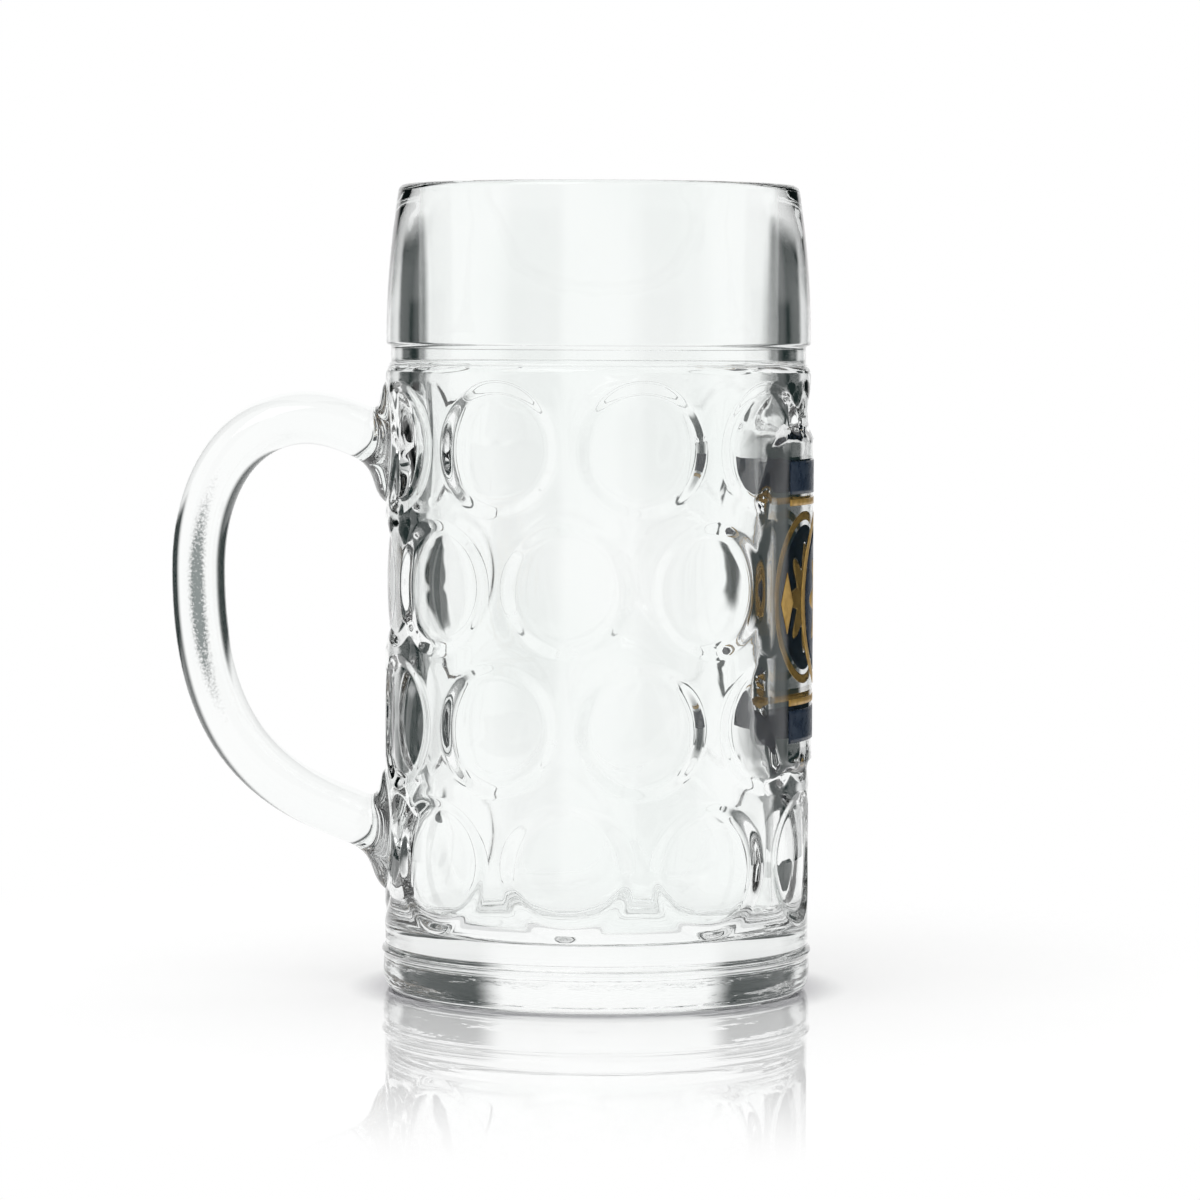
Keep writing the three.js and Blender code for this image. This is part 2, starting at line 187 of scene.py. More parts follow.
class CupSizes(bpy.types.PropertyGroup):
    """Turned form of the cup, from its standing ring to its lip."""

    height: length("Height", "Standing ring to lip", CUP_HIGH.z)
    body_radius: length("Body radius", "Wall between the foot and the shoulder", 0.0529)
    rim_radius: length("Rim radius", "Outside of the lip", 0.0499)
    lip_round: length("Lip round", "Fire-polished round of the lip", 0.0018)
    bore_radius: length("Bore radius", "Inside of the lip", 0.045)
    bore_draft: length("Bore draft", "How much the bore narrows to its floor", 0.0006)
    bore_corner: length("Bore corner", "Round between the bore and its floor", 0.009)
    floor_thickness: length("Floor thickness", "Glass under the drink", 0.015)
    foot_radius: length("Foot radius", "Outside of the foot band", 0.0533)
    foot_height: length("Foot height", "Top of the foot band", 0.0098)
    foot_edge: length("Foot edge", "Round under the foot band", 0.0024)
    foot_swell: length("Foot swell", "Barrelling of the foot band", 0.0003)
    seam_height: length("Seam height", "Half height of the mould seam on the foot", 0.0007)
    seam_rise: length("Seam rise", "How far the mould seam stands out", 0.00035)
    recess_radius: length("Recess radius", "Inside of the standing ring", 0.04)
    recess_depth: length("Recess depth", "Hollow under the foot", 0.001)
    recess_slope: length("Recess slope", "Run of the hollow's sloping edge", 0.0015)
    band_height: length("Band height", "Smooth drinking band", 0.0396)
    band_radius: length("Band radius", "Foot of the drinking band", 0.0528)
    band_straight: length("Band straight", "Height over which the band stays upright", 0.019)
    groove_width: length("Groove width", "Groove under the drinking band", 0.0048)
    groove_depth: length("Groove depth", "Depth of the groove", 0.0013)
    groove_round: length("Groove round", "Soft corner in the groove", 0.0007)
    shoulder_round: length("Shoulder round", "Top edge of the eyed wall", 0.0022)

    @property
    def band_bottom(self):
        return self.height - self.band_height

    @property
    def shoulder_top(self):
        return self.band_bottom - self.groove_width

    @property
    def wall_bottom(self):
        return self.foot_height + self.seam_height

    @property
    def wall_top(self):
        return self.shoulder_top - self.shoulder_round


class EyeSizes(bpy.types.PropertyGroup):
    """Round eyes pressed into the wall."""

    rows: IntProperty(name="Rows", description="Rows of eyes up the wall", default=4, min=2)
    per_row: IntProperty(name="Eyes per row", description="Eyes round the wall", default=9, min=3)
    width: length("Width", "Eye measured round the wall", 0.0334)
    height: length("Height", "Eye measured up the wall", 0.0336)
    depth: length("Depth", "Depth in the middle of an eye", 0.00045)
    moat: length("Moat", "How much deeper an eye would be at its rim", 0.0012)
    rim: length("Rim", "Breadth of an eye's sloping rim", 0.0044)
    foot_margin: length("Foot margin", "Plain wall under the lowest row", 0.0076)
    shoulder_margin: length("Shoulder margin", "Plain wall over the highest row", 0.0035)


class PanelSizes(bpy.types.PropertyGroup):
    """Smooth raised panel under the print."""

    width: length("Width", "Panel measured round the wall", 0.078)
    height: length("Height", "Panel measured up the wall", 0.079)
    corner_run: length("Corner run", "Cut corner, measured round the wall", 0.007)
    corner_rise: length("Corner rise", "Cut corner, measured up the wall", 0.0157)
    drop: length("Drop", "Shoulder to the panel's top edge", 0.0184)
    rise: length("Rise", "How far the panel stands out", 0.0007)
    edge: length("Edge", "Breadth of the panel's sloping edge", 0.0026)


class HandleSizes(bpy.types.PropertyGroup):
    """Bow handle and the pads that weld it to the wall."""

    reach: length("Reach", "Wall to the middle of the bow", 0.0465)
    thickness: length("Thickness", "Bow seen from the side", 0.0132)
    width: length("Width", "Bow seen from the front", 0.019)
    belly: length("Belly", "Lower root to the furthest point of the bow", 0.065)
    crest_rise: length("Crest rise", "Upper root to the top of the centre line", 0.006)
    crest_out: length("Crest out", "Wall to the top of the centre line", 0.0196)
    upper_drop: length("Upper root drop", "Shoulder to the upper root", 0.0195)
    lower_rise: length("Lower root rise", "Foot band to the lower root", 0.0297)
    arm_tilt: turn("Lower arm tilt", "Slope of the lower arm", 21.8)
    arm_length: length("Lower arm length", "Straight part of the lower arm", 0.0141)
    bow_fullness: share("Bow fullness", "How square the upper bend is", 0.6)
    sweep_fullness: share("Sweep fullness", "How far the belly stays upright", 0.55)
    arm_fullness: share("Arm fullness", "How far the lower arm stays straight", 0.7)
    # Half height of the painted dark reflection streak along the bow.
    painted_reflection_streak: length("Grip", "Half height of the rubbed streak along the bow", 0.026)
    sink: length("Sink", "How far the centre line runs into the wall", 0.007)
    pad_height: length("Pad height", "Weld measured up the wall", 0.03)
    pad_width: length("Pad width", "Weld measured round the wall", 0.026)
    pad_reach: length("Pad reach", "How far the pads flare from the wall", 0.0062)
    pad_land: length("Pad land", "Plain wall round a pad", 0.003)


class PrintSizes(bpy.types.PropertyGroup):
    """Two-colour enamel print on the panel."""

    proud: length("Proud", "Enamel above the glass", 0.00012)
    sunk: length("Sunk", "Enamel fused into the glass", 0.00005)
    split: length("Split", "Clear line between the two colours", 0.0004)
    end_margin: length("End margin", "Bars to the panel's ends", 0.005)
    side_margin: length("Side margin", "Bars to the panel's cut corners", 0.003)
    bar_height: length("Bar height", "Dark bars", 0.008)
    stripe_height: length("Stripe height", "Gold stripes", 0.0016)
    stripe_space: length("Stripe space", "Bar to stripe", 0.0012)
    ring_space: length("Ring space", "Stripe to ring", 0.0022)
    ring_breadth: length("Ring breadth", "Gold ring", 0.0022)
    disc_space: length("Disc space", "Ring to disc", 0.0012)
    rosette_space: length("Rosette space", "Disc's edge to the rosette", 0.0046)
    rosette_lobe: length("Rosette lobe", "Depth of the rosette's petals", 0.006)
    petals: IntProperty(name="Petals", description="Petals of the rosette", default=8, min=3)
    lozenge_width: length("Lozenge width", "Gold lozenges", 0.006)
    lozenge_height: length("Lozenge height", "Gold lozenges", 0.015)
    lozenge_space: length("Lozenge space", "Ring to lozenge", 0.00575)


class Finishes(bpy.types.PropertyGroup):
    """Colours and surface detail."""

    clear: colour("Clear glass", "Glass where it is thin", (0.975, 0.985, 0.98))
    deep: colour("Deep glass", "Glass where the gather is tinted", (0.945, 0.965, 0.956))
    # Colour of the painted dark reflection streak along the bow.
    painted_reflection_streak: colour("Grip", "Rubbed streak along the bow", (0.06, 0.075, 0.073))
    glass_index: FloatProperty(
        name="Glass index", description="Index of refraction", default=1.52, min=1.0, max=2.0
    )
    ripple: length("Ripple", "Height of the pressed ripple in the glass", 0.00002)
    dark: colour("Dark enamel", "Blue-black colour of the print", (0.01, 0.018, 0.034))
    dark_shade: colour("Dark enamel shade", "Thin places in the dark colour", (0.02, 0.032, 0.052))
    gold: colour("Gold enamel", "Gold colour of the print", (0.47, 0.30, 0.085))
    gold_shade: colour("Gold enamel shade", "Dull places in the gold", (0.33, 0.2, 0.055))


class StageSizes(bpy.types.PropertyGroup):
    """Floor, light and camera."""

    camera_distance: length("Camera distance", "Camera to the cup's axis", 1.18)
    camera_height: length("Camera height", "Camera above the floor", 0.165)
    camera_turn: turn("Camera turn", "Camera round the cup, towards the handle", 2.0)
    camera_roll: turn("Camera roll", "Lean of the camera", 0.23)
    aim_height: length("Aim height", "Point on the axis that the camera looks at", 0.0968)
    aim_side: length("Aim side", "That point's offset from the axis", 0.0006)
    lens: FloatProperty(name="Lens", description="Focal length", default=142.0, min=1.0, unit="CAMERA")
    floor_radius: length("Floor radius", "Round white floor", 0.32)
    # Inside floor_under the floor glows white and lights the base from below.
    floor_under: length("Floor under", "Radius within which the floor lights the base", 0.046)
    # Between floor_edge and floor_contact the contact shadow is painted into the floor colour.
    floor_edge: length("Floor edge", "Radius at which the contact shadow starts", 0.0505)
    floor_contact: length("Floor contact", "Radius at which the contact shadow ends", 0.064)
    floor_near: length("Floor near", "Radius within which the floor shows shade", 0.13)
    floor_far: length("Floor far", "Radius beyond which the floor is plain white", 0.26)
    floor_colour: colour("Floor colour", "Pale floor near the mug", (0.96, 0.96, 0.96))
    # Painted contact shadow: grey colour of the floor ring round the foot.
    painted_contact_shadow_colour: colour("Contact colour", "Floor against the foot", (0.3, 0.29, 0.32))
    flag_colour: colour("Flag colour", "Dark flags that edge the glass", (0.016, 0.026, 0.025))


class MugSettings(bpy.types.PropertyGroup):
    """All settings of the mug."""

    cup: PointerProperty(type=CupSizes, name="Cup", description="Turned form")
    eyes: PointerProperty(type=EyeSizes, name="Eyes", description="Pressed eyes")
    panel: PointerProperty(type=PanelSizes, name="Panel", description="Printed panel")
    handle: PointerProperty(type=HandleSizes, name="Handle", description="Bow handle")
    enamel: PointerProperty(type=PrintSizes, name="Print", description="Enamel print")
    finish: PointerProperty(type=Finishes, name="Finish", description="Colours")
    stage: PointerProperty(type=StageSizes, name="Stage", description="Floor and camera")

    @property
    def lowest_eye(self):
        return self.cup.foot_height + self.eyes.foot_margin + self.eyes.height / 2

    @property
    def eye_pitch(self):
        highest = self.cup.shoulder_top - self.eyes.shoulder_margin - self.eyes.height / 2
        return (highest - self.lowest_eye) / (self.eyes.rows - 1)

    @property
    def panel_centre(self):
        return self.cup.shoulder_top - self.panel.drop - self.panel.height / 2

    @property
    def panel_radius(self):
        return self.cup.body_radius + self.panel.rise

    @property
    def upper_root(self):
        return self.cup.shoulder_top - self.handle.upper_drop

    @property
    def lower_root(self):
        return self.cup.foot_height + self.handle.lower_rise

    # Middle height of the painted dark reflection streak on the bow.
    @property
    def painted_streak_height(self):
        return self.lower_root + self.handle.belly - self.handle.painted_reflection_streak / 4


# Sums in node trees


class Field:
    """A socket's value in a node tree, with the sums that the trees here need."""

    def __init__(self, socket):
        self.socket = socket
        self.tree = socket.id_data

    def __add__(self, other):
        return reckon(self.tree, "ADD", self, other)

    def __sub__(self, other):
        return reckon(self.tree, "SUBTRACT", self, other)

    def __rsub__(self, other):
        return reckon(self.tree, "SUBTRACT", other, self)

    def __mul__(self, other):
        return reckon(self.tree, "MULTIPLY", self, other)

    def __truediv__(self, other):
        return reckon(self.tree, "DIVIDE", self, other)

    def __abs__(self):
        return reckon(self.tree, "ABSOLUTE", self)

    def ramp(self, start, end):
        """0 below start, 1 above end and a smooth step between them."""
        terms = dict(enumerate((self, start, end)))
        node = add_node(self.tree, "ShaderNodeMapRange", terms, interpolation_type="SMOOTHSTEP")
        return Field(node.outputs["Result"])


def fill(tree, node, inputs):
    """Links fields and sockets to a node's inputs, and sets plain values on the others."""
    for label, term in inputs.items():
        if isinstance(term, Field):
            term = term.socket
        if isinstance(term, bpy.types.NodeSocket):
            tree.links.new(term, node.inputs[label])
        else:
            node.inputs[label].default_value = term


def add_node(tree, kind, inputs, **settings):
    """A new node with its settings and filled inputs."""
    node = tree.nodes.new(kind)
    for name, value in settings.items():
        setattr(node, name, value)
    fill(tree, node, inputs)
    return node


def reckon(tree, operation, *terms):
    """One math node on fields and plain numbers."""
    node = add_node(tree, "ShaderNodeMath", dict(enumerate(terms)), operation=operation)
    return Field(node.outputs["Value"])


def hypot(tree, a, b):
    """Length of a vector of two fields."""
    return reckon(tree, "SQRT", a * a + b * b)


def greatest(tree, first, *rest):
    """The greatest of some fields and plain numbers."""
    for term in rest:
        first = reckon(tree, "MAXIMUM", first, term)
    return first


def split_vector(tree, socket):
    """The three parts of a vector socket."""
    node = add_node(tree, "ShaderNodeSeparateXYZ", {"Vector": socket})
    return [Field(output) for output in node.outputs]


def shape_tree(name, sizes):
    """A geometry tree with named size inputs: the tree, its input node and its sizes as fields."""
    tree = bpy.data.node_groups.new(name, "GeometryNodeTree")
    tree.interface.new_socket("Geometry", in_out="INPUT", socket_type="NodeSocketGeometry")
    tree.interface.new_socket("Geometry", in_out="OUTPUT", socket_type="NodeSocketGeometry")
    for label in sizes:
        tree.interface.new_socket(label, in_out="INPUT", socket_type="NodeSocketFloat")
    entry = tree.nodes.new("NodeGroupInput")
    return tree, entry, {label: Field(entry.outputs[label]) for label in sizes}


def material_input(tree, entry, label):
    """A material input of a geometry tree."""
    tree.interface.new_socket(label, in_out="INPUT", socket_type="NodeSocketMaterial")
    return entry.outputs[label]


def finish_shape(tree, geometry, material):
    """Ends a tree: smooth faces, realised instances and the material."""
    steps = (
        ("GeometryNodeSetShadeSmooth", {}),
        ("GeometryNodeRealizeInstances", {}),
        ("GeometryNodeSetMaterial", {"Material": material}),
    )
    for kind, inputs in steps:
        geometry = add_node(tree, kind, {"Geometry": geometry, **inputs}).outputs["Geometry"]
    add_node(tree, "NodeGroupOutput", {"Geometry": geometry})


def moved(tree, geometry, parts, offset=False):
    """Set Position to, or by, a vector of three fields."""
    vector = add_node(tree, "ShaderNodeCombineXYZ", dict(enumerate(parts))).outputs["Vector"]
    inputs = {"Geometry": geometry, "Offset" if offset else "Position": vector}
    return add_node(tree, "GeometryNodeSetPosition", inputs).outputs["Geometry"]


def shaped(obj, tree, values):
    """Runs a geometry tree on an object and keeps the result as its plain mesh."""
    modifier = obj.modifiers.new(tree.name, "NODES")
    modifier.node_group = tree
    for item in tree.interface.items_tree:
        if item.in_out == "INPUT" and item.name in values:
            modifier[item.identifier] = values[item.name]
    depsgraph = bpy.context.evaluated_depsgraph_get()
    mesh = bpy.data.meshes.new_from_object(obj.evaluated_get(depsgraph), depsgraph=depsgraph)
    mesh.name = obj.name
    obj.modifiers.remove(modifier)
    rough = obj.data
    obj.data = mesh
    bpy.data.meshes.remove(rough)
    return obj


# Meshes


def new_object(name, points, faces):
    """A mesh object at the origin, linked to the scene."""
    mesh = bpy.data.meshes.new(name)
    mesh.from_pydata([tuple(point) for point in points], [], faces)
    mesh.validate()
    obj = bpy.data.objects.new(name, mesh)
    bpy.context.scene.collection.objects.link(obj)
    return obj


def turns(steps):
    """Angles of even steps round a circle."""
    return [2 * math.pi * k / steps for k in range(steps)]


def lofted(name, rings, first=None, last=None, closed=False, extra=()):
    """Joins closed rings of points: ends in single points, closes on itself or stays open."""
    sides = len(rings[0])
    points = [] if first is None else [first]
    base = len(points)
    for ring in rings:
        points += ring
    if last is not None:
        points.append(last)

    def at(ring, k):
        return base + ring % len(rings) * sides + k % sides

    faces = list(extra)
    for k in range(sides):
        if first is not None:
            faces.append((0, at(0, k), at(0, k + 1)))
        for i in range(len(rings) if closed else len(rings) - 1):
            faces.append((at(i, k), at(i + 1, k), at(i + 1, k + 1), at(i, k + 1)))
        if last is not None:
            faces.append((at(-1, k), len(points) - 1, at(-1, k + 1)))
    return new_object(name, points, faces)


def settle(obj, slot, *nodes):
    """The piece rides on the mug and stands for its CAD nodes, which it hides; slot is not used."""
    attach(obj, BODY)
    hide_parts(*nodes)


def arc(radius, height, round_, start, end, steps=ARC_STEPS):
    """Points of a round corner about a centre, without its first point."""
    angles = [math.radians(start + (end - start) * i / steps) for i in range(1, steps + 1)]
    return [(radius + round_ * math.cos(a), height + round_ * math.sin(a)) for a in angles]


def straight(start, end, steps):
    """Points of a straight run, without its first point."""
    return [
        tuple(a + (b - a) * i / steps for a, b in zip(start, end)) for i in range(1, steps + 1)
    ]


def bezier(points, t):
    """A point of a Bezier curve by repeated mixing."""
    points = [Vector(point) for point in points]
    while len(points) > 1:
        points = [a.lerp(b, t) for a, b in zip(points, points[1:])]
    return points[0]


def foot_profile(cup):
    """Radius and height from the middle of the underside up to the mould seam."""
    inner, edge, seam = cup.recess_radius, cup.foot_edge, cup.seam_height
    foot = [(0.0, cup.recess_depth)]
    foot += straight(foot[-1], (inner - cup.recess_slope, cup.recess_depth), FLAT_STEPS)
    foot += straight(foot[-1], (inner, 0.0), SLOPE_STEPS)
    shoulder = cup.foot_radius - cup.foot_swell - edge
    foot += straight(foot[-1], (shoulder, 0.0), STANDING_STEPS)
    foot += arc(shoulder, edge, edge, -90, 0)
    rise = cup.foot_height - 2 * seam - edge
    for i in range(1, ARC_STEPS + 1):
        swell = cup.foot_swell * math.sin(math.pi * i / ARC_STEPS)
        foot.append((cup.foot_radius - cup.foot_swell + swell, edge + rise * i / ARC_STEPS))
    middle = (cup.foot_radius + cup.body_radius) / 2
    for i in range(1, ARC_STEPS):
        swell = math.sin(math.pi * i / ARC_STEPS)
        height = cup.foot_height + seam * (2.0 * i / ARC_STEPS - 1.0)
        foot.append((middle + (cup.foot_radius - middle + cup.seam_rise) * swell, height))
    return foot


def band_profile(cup):
    """Radius and height from the shoulder over the groove and band to the inside of the lip."""
    groove = cup.body_radius - cup.groove_depth
    soft = cup.groove_round
    top, bottom = cup.shoulder_top, cup.band_bottom
    lip = cup.height - cup.lip_round
    turned = cup.body_radius - cup.shoulder_round
    band = arc(turned, cup.wall_top, cup.shoulder_round, 0, SHOULDER_ARC)
    band += straight(band[-1], (groove + soft, top), SHOULDER_STEPS)
    band += arc(groove + soft, top + soft, soft, 270, 180)
    band += straight(band[-1], (groove, bottom - soft), GROOVE_STEPS)
    band += arc(groove + soft, bottom - soft, soft, 180, 90)
    band += arc(cup.band_radius - soft, bottom + soft, soft, -90, 0)
    flank = [
        (cup.band_radius, bottom + soft, 0.0),
        (cup.band_radius, bottom + cup.band_straight, 0.0),
        (cup.rim_radius, lip, 0.0),
    ]
    band += [tuple(bezier(flank, i / FLANK_STEPS))[:2] for i in range(1, FLANK_STEPS + 1)]
    band += arc(cup.rim_radius - cup.lip_round, lip, cup.lip_round, 0, 90)
    band += straight(band[-1], (cup.bore_radius + cup.lip_round, cup.height), LIP_STEPS)
    band += arc(cup.bore_radius + cup.lip_round, lip, cup.lip_round, 90, 180)
    return band


def bore_profile(cup):
    """Radius and height from the lip down the bore to the middle of its floor."""
    radius = cup.bore_radius - cup.bore_draft
    corner = cup.floor_thickness + cup.bore_corner
    bore = straight((cup.bore_radius, cup.height - cup.lip_round), (radius, corner), BORE_STEPS)
    bore += arc(radius - cup.bore_corner, corner, cup.bore_corner, 0, -90, CORNER_STEPS)
    bore += straight(bore[-1], (0.0, cup.floor_thickness), FLAT_STEPS)
    return bore


class Shell:
    """Points and faces of the cup, built ring by ring."""

    def __init__(self, steps):
        self.steps = steps
        self.points = []
        self.faces = []
        self.joints = {}

    def add(self, radius, step, height):
        """Adds a point and returns its number."""
        angle = 2 * math.pi * step / self.steps
        self.points.append((radius * math.cos(angle), radius * math.sin(angle), height))
        return len(self.points) - 1

    def joint(self, radius, step, height):
        """A point of the wall that neighbouring bricks share."""
        key = (step % self.steps, round(height, 6))
        if key not in self.joints:
            self.joints[key] = self.add(radius, step, height)
        return self.joints[key]

    def ring(self, radius, height):
        """Adds a whole ring of points."""
        return [self.add(radius, step, height) for step in range(self.steps)]

    def fan(self, middle, ring):
        """Faces between a point and a closed ring."""
        for k, point in enumerate(ring):
            self.faces.append((middle, point, ring[(k + 1) % len(ring)]))

    def join(self, inner, outer):
        """Faces between two closed rings of points."""
        for k in range(len(inner)):
            ahead = (k + 1) % len(inner)
            self.faces.append((inner[k], outer[k], outer[ahead], inner[ahead]))


def brick_outline():
    """Outline of one brick of wall, anticlockwise, as shares of its half sizes."""
    across, up = BRICK_TURN_STEPS, BRICK_RISE_STEPS
    outline = [(2 * i / across - 1, -1) for i in range(across)]
    outline += [(1, 2 * j / up - 1) for j in range(up)]
    return outline + [(-x, -y) for x, y in outline]


def eye_brick(shell, mug, step, height):
    """One brick of wall, meshed in rings about its eye."""
    radius = mug.cup.body_radius
    half_turn, half_rise = BRICK_TURN_STEPS // 2, mug.eye_pitch / 2
    eye_turn = mug.eyes.width / 2 / radius * shell.steps / (2 * math.pi)
    outline = brick_outline()
    rim = []
    for x, y in outline:
        angle = math.atan2(y, x)
        rim.append((eye_turn * math.cos(angle), mug.eyes.height / 2 * math.sin(angle)))
    edge = [(x * half_turn, y * half_rise) for x, y in outline]
    rings = [[(x * reach, y * reach) for x, y in rim] for reach in BOWL_RINGS]
    for part in GAP_RINGS:
        rings.append(
            [(a + (x - a) * part, b + (y - b) * part) for (a, b), (x, y) in zip(rim, edge)]
        )
    made = [[shell.add(radius, step + x, height + y) for x, y in ring] for ring in rings]
    made.append([shell.joint(radius, round(step + x), height + y) for x, y in edge])
    shell.fan(shell.add(radius, step, height), made[0])
    for inner, outer in zip(made, made[1:]):
        shell.join(inner, outer)


def cup_blank(mug):
    """The plain turned cup, with a mark on the points of its outer wall."""
    cup, eyes = mug.cup, mug.eyes
    shell = Shell(eyes.per_row * BRICK_TURN_STEPS)
    foot = foot_profile(cup)
    rings = [shell.ring(*place) for place in foot[1:]]
    below = shell.add(0.0, 0, foot[0][1])
    shell.fan(below, rings[0][::-1])
    start = len(shell.points)
    first = mug.lowest_eye - mug.eye_pitch / 2
    last = first + eyes.rows * mug.eye_pitch
    ends = straight((0.0, cup.wall_bottom), (0.0, first), WALL_END_STEPS)
    for height in [cup.wall_bottom] + [end[1] for end in ends[:-1]]:
        rings.append(shell.ring(cup.body_radius, height))
    rings.append([shell.joint(cup.body_radius, step, first) for step in range(shell.steps)])
    for row in range(eyes.rows):
        for i in range(eyes.per_row):
            step = shell.steps / 2 + (i + row % 2 / 2) * BRICK_TURN_STEPS
            eye_brick(shell, mug, step, mug.lowest_eye + row * mug.eye_pitch)
    upper = [[shell.joint(cup.body_radius, step, last) for step in range(shell.steps)]]
    upper.append(shell.ring(cup.body_radius, cup.wall_top))
    end = len(shell.points)
    rest = band_profile(cup) + bore_profile(cup)
    upper += [shell.ring(*place) for place in rest[:-1]]
    for run in (rings, upper):
        for low, high in zip(run, run[1:]):
            shell.join(high, low)
    shell.fan(shell.add(0.0, 0, rest[-1][1]), upper[-1])
    blank = new_object("cup_glass", shell.points, shell.faces)
    mark = blank.data.attributes.new(WALL_MARK, "FLOAT", "POINT")
    for i in range(start, end):
        mark.data[i].value = 1.0
    return blank


def eye_inputs(mug):
    """Sizes that press the eyes, by the names of the tree's inputs."""
    cup, eyes, panel, handle = mug.cup, mug.eyes, mug.panel, mug.handle
    return {
        "Body Radius": cup.body_radius,
        "Eye Rows": float(eyes.rows),
        "Eyes per Row": float(eyes.per_row),
        "Eye Width": eyes.width,
        "Eye Height": eyes.height,
        "Eye Depth": eyes.depth,
        "Eye Moat": eyes.moat,
        "Eye Rim": eyes.rim,
        "Lowest Eye": mug.lowest_eye,
        "Eye Pitch": mug.eye_pitch,
        "Panel Width": panel.width,
        "Panel Height": panel.height,
        "Panel Centre": mug.panel_centre,
        "Corner Run": panel.corner_run,
        "Corner Rise": panel.corner_rise,
        "Panel Rise": panel.rise,
        "Panel Edge": panel.edge,
        "Pad Width": handle.pad_width,
        "Pad Height": handle.pad_height,
        "Pad Land": handle.pad_land,
        "Upper Root": mug.upper_root,
        "Lower Root": mug.lower_root,
    }


def eye_bowl(tree, size, turned_by, height):
    """Depth of an eye: a bulging lens in a round socket, and 0 from the rim outwards."""
    row = reckon(tree, "ROUND", (height - size["Lowest Eye"]) / size["Eye Pitch"])
    row = reckon(tree, "MINIMUM", greatest(tree, row, 0.0), size["Eye Rows"] - 1.0)
    odd = reckon(tree, "MODULO", row, 2.0)
    turns = turned_by / (2 * math.pi) * size["Eyes per Row"] - (size["Eyes per Row"] + odd) / 2.0
    spacing = size["Body Radius"] * (2 * math.pi) / size["Eyes per Row"]
    across = (turns - reckon(tree, "ROUND", turns)) * spacing
    along = height - size["Lowest Eye"] - row * size["Eye Pitch"]
    across = across * 2.0 / size["Eye Width"]
    along = along * 2.0 / size["Eye Height"]
    reach = across * across + along * along
    slope = 1.0 - size["Eye Rim"] * 2.0 / size["Eye Width"]
    inside = 1.0 - reckon(tree, "SQRT", reach).ramp(slope, 1.0)
    return (reach * size["Eye Moat"] + size["Eye Depth"]) * inside


def pad_reach(tree, size, turned_by, height, grow):
    """Least distance to the middle of a pad, as a share of the pad's half size."""
    across = (math.pi - abs(turned_by)) * size["Body Radius"] / (size["Pad Width"] / 2.0 + grow)
    reaches = []
    for root in ("Upper Root", "Lower Root"):
        along = (height - size[root]) / (size["Pad Height"] / 2.0 + grow)
        reaches.append(hypot(tree, across, along))
    return reckon(tree, "MINIMUM", *reaches)


def panel_share(tree, size, turned_by, height):
    """1 on the eight-sided panel, 0 off it and a slope along its edge."""
    across = abs(turned_by * size["Body Radius"])
    along = abs(height - size["Panel Centre"])
    half_width, half_height = size["Panel Width"] / 2.0, size["Panel Height"] / 2.0
    run, rise = size["Corner Run"], size["Corner Rise"]
    beyond = (across - half_width) * rise + (along - half_height + rise) * run
    off = greatest(
        tree, across - half_width, along - half_height, beyond / hypot(tree, run, rise)
    )
    return 1.0 - off.ramp(0.0, size["Panel Edge"])


def pressed_eyes_tree(labels):
    """Presses the eyes into the turned cup, and raises the panel."""
    tree, entry, size = shape_tree("Pressed eyes", labels)
    glass = material_input(tree, entry, "Glass")
    place = tree.nodes.new("GeometryNodeInputPosition")
    x, y, height = split_vector(tree, place.outputs["Position"])
    turned_by = reckon(tree, "ARCTAN2", y, x)
    mark = tree.nodes.new("GeometryNodeInputNamedAttribute")
    mark.data_type = "FLOAT"
    mark.inputs["Name"].default_value = WALL_MARK
    wall = Field(mark.outputs["Attribute"])
    panel = panel_share(tree, size, turned_by, height)
    land = 1.0 - pad_reach(tree, size, turned_by, height, size["Pad Land"]).ramp(1.0, LAND_FADE)
    eye = eye_bowl(tree, size, turned_by, height)
    out = panel * size["Panel Rise"] - eye * (1.0 - greatest(tree, panel, land))
    push = out * wall / hypot(tree, x, y)
    geometry = moved(tree, entry.outputs["Geometry"], (x * push, y * push, 0.0), offset=True)
    finish_shape(tree, geometry, glass)
    return tree


# Handle


def handle_curves(mug):
    """Bezier control points of the centre line, from the upper weld round to the lower one."""
    cup, handle = mug.cup, mug.handle
    crest = mug.upper_root + handle.crest_rise
    belly = mug.lower_root + handle.belly
    slope = math.tan(handle.arm_tilt)
    arm_run = handle.arm_length * math.cos(handle.arm_tilt)
    arm_top = mug.lower_root + handle.arm_length * math.sin(handle.arm_tilt)
    pull = handle.arm_fullness * (handle.reach - arm_run)
    bow = handle.bow_fullness * (handle.reach - handle.crest_out)
    sweep = handle.sweep_fullness * (belly - arm_top)

    def at(out, height):
        return Vector((-cup.body_radius - out, 0.0, height))

    return [
        [
            at(-handle.sink, mug.upper_root - handle.crest_rise / 4),
            at(handle.crest_out / 6, mug.upper_root),
            at(handle.crest_out / 2, crest),
            at(handle.crest_out, crest),
        ],
        [
            at(handle.crest_out, crest),
            at(handle.crest_out + bow, crest),
            at(handle.reach, belly + handle.bow_fullness * (crest - belly)),
            at(handle.reach, belly),
        ],
        [
            at(handle.reach, belly),
            at(handle.reach, belly - sweep),
            at(arm_run + pull, arm_top + pull * slope),
            at(arm_run, arm_top),
        ],
        [at(arm_run, arm_top), at(-handle.sink, mug.lower_root - handle.sink * slope)],
    ]


def bow_line(mug):
    """Points and directions of the centre line that lie clear of the pads."""
    line = []
    for curve in handle_curves(mug):
        for i in range(BOW_STEPS):
            t = i / BOW_STEPS
            before, after = max(t - TANGENT_STEP, 0.0), min(t + TANGENT_STEP, 1.0)
            ahead = bezier(curve, after) - bezier(curve, before)
            line.append((bezier(curve, t), ahead.normalized()))
    clear = mug.cup.body_radius + mug.handle.pad_reach
    return [(point, ahead) for point, ahead in line if -point.x >= clear]


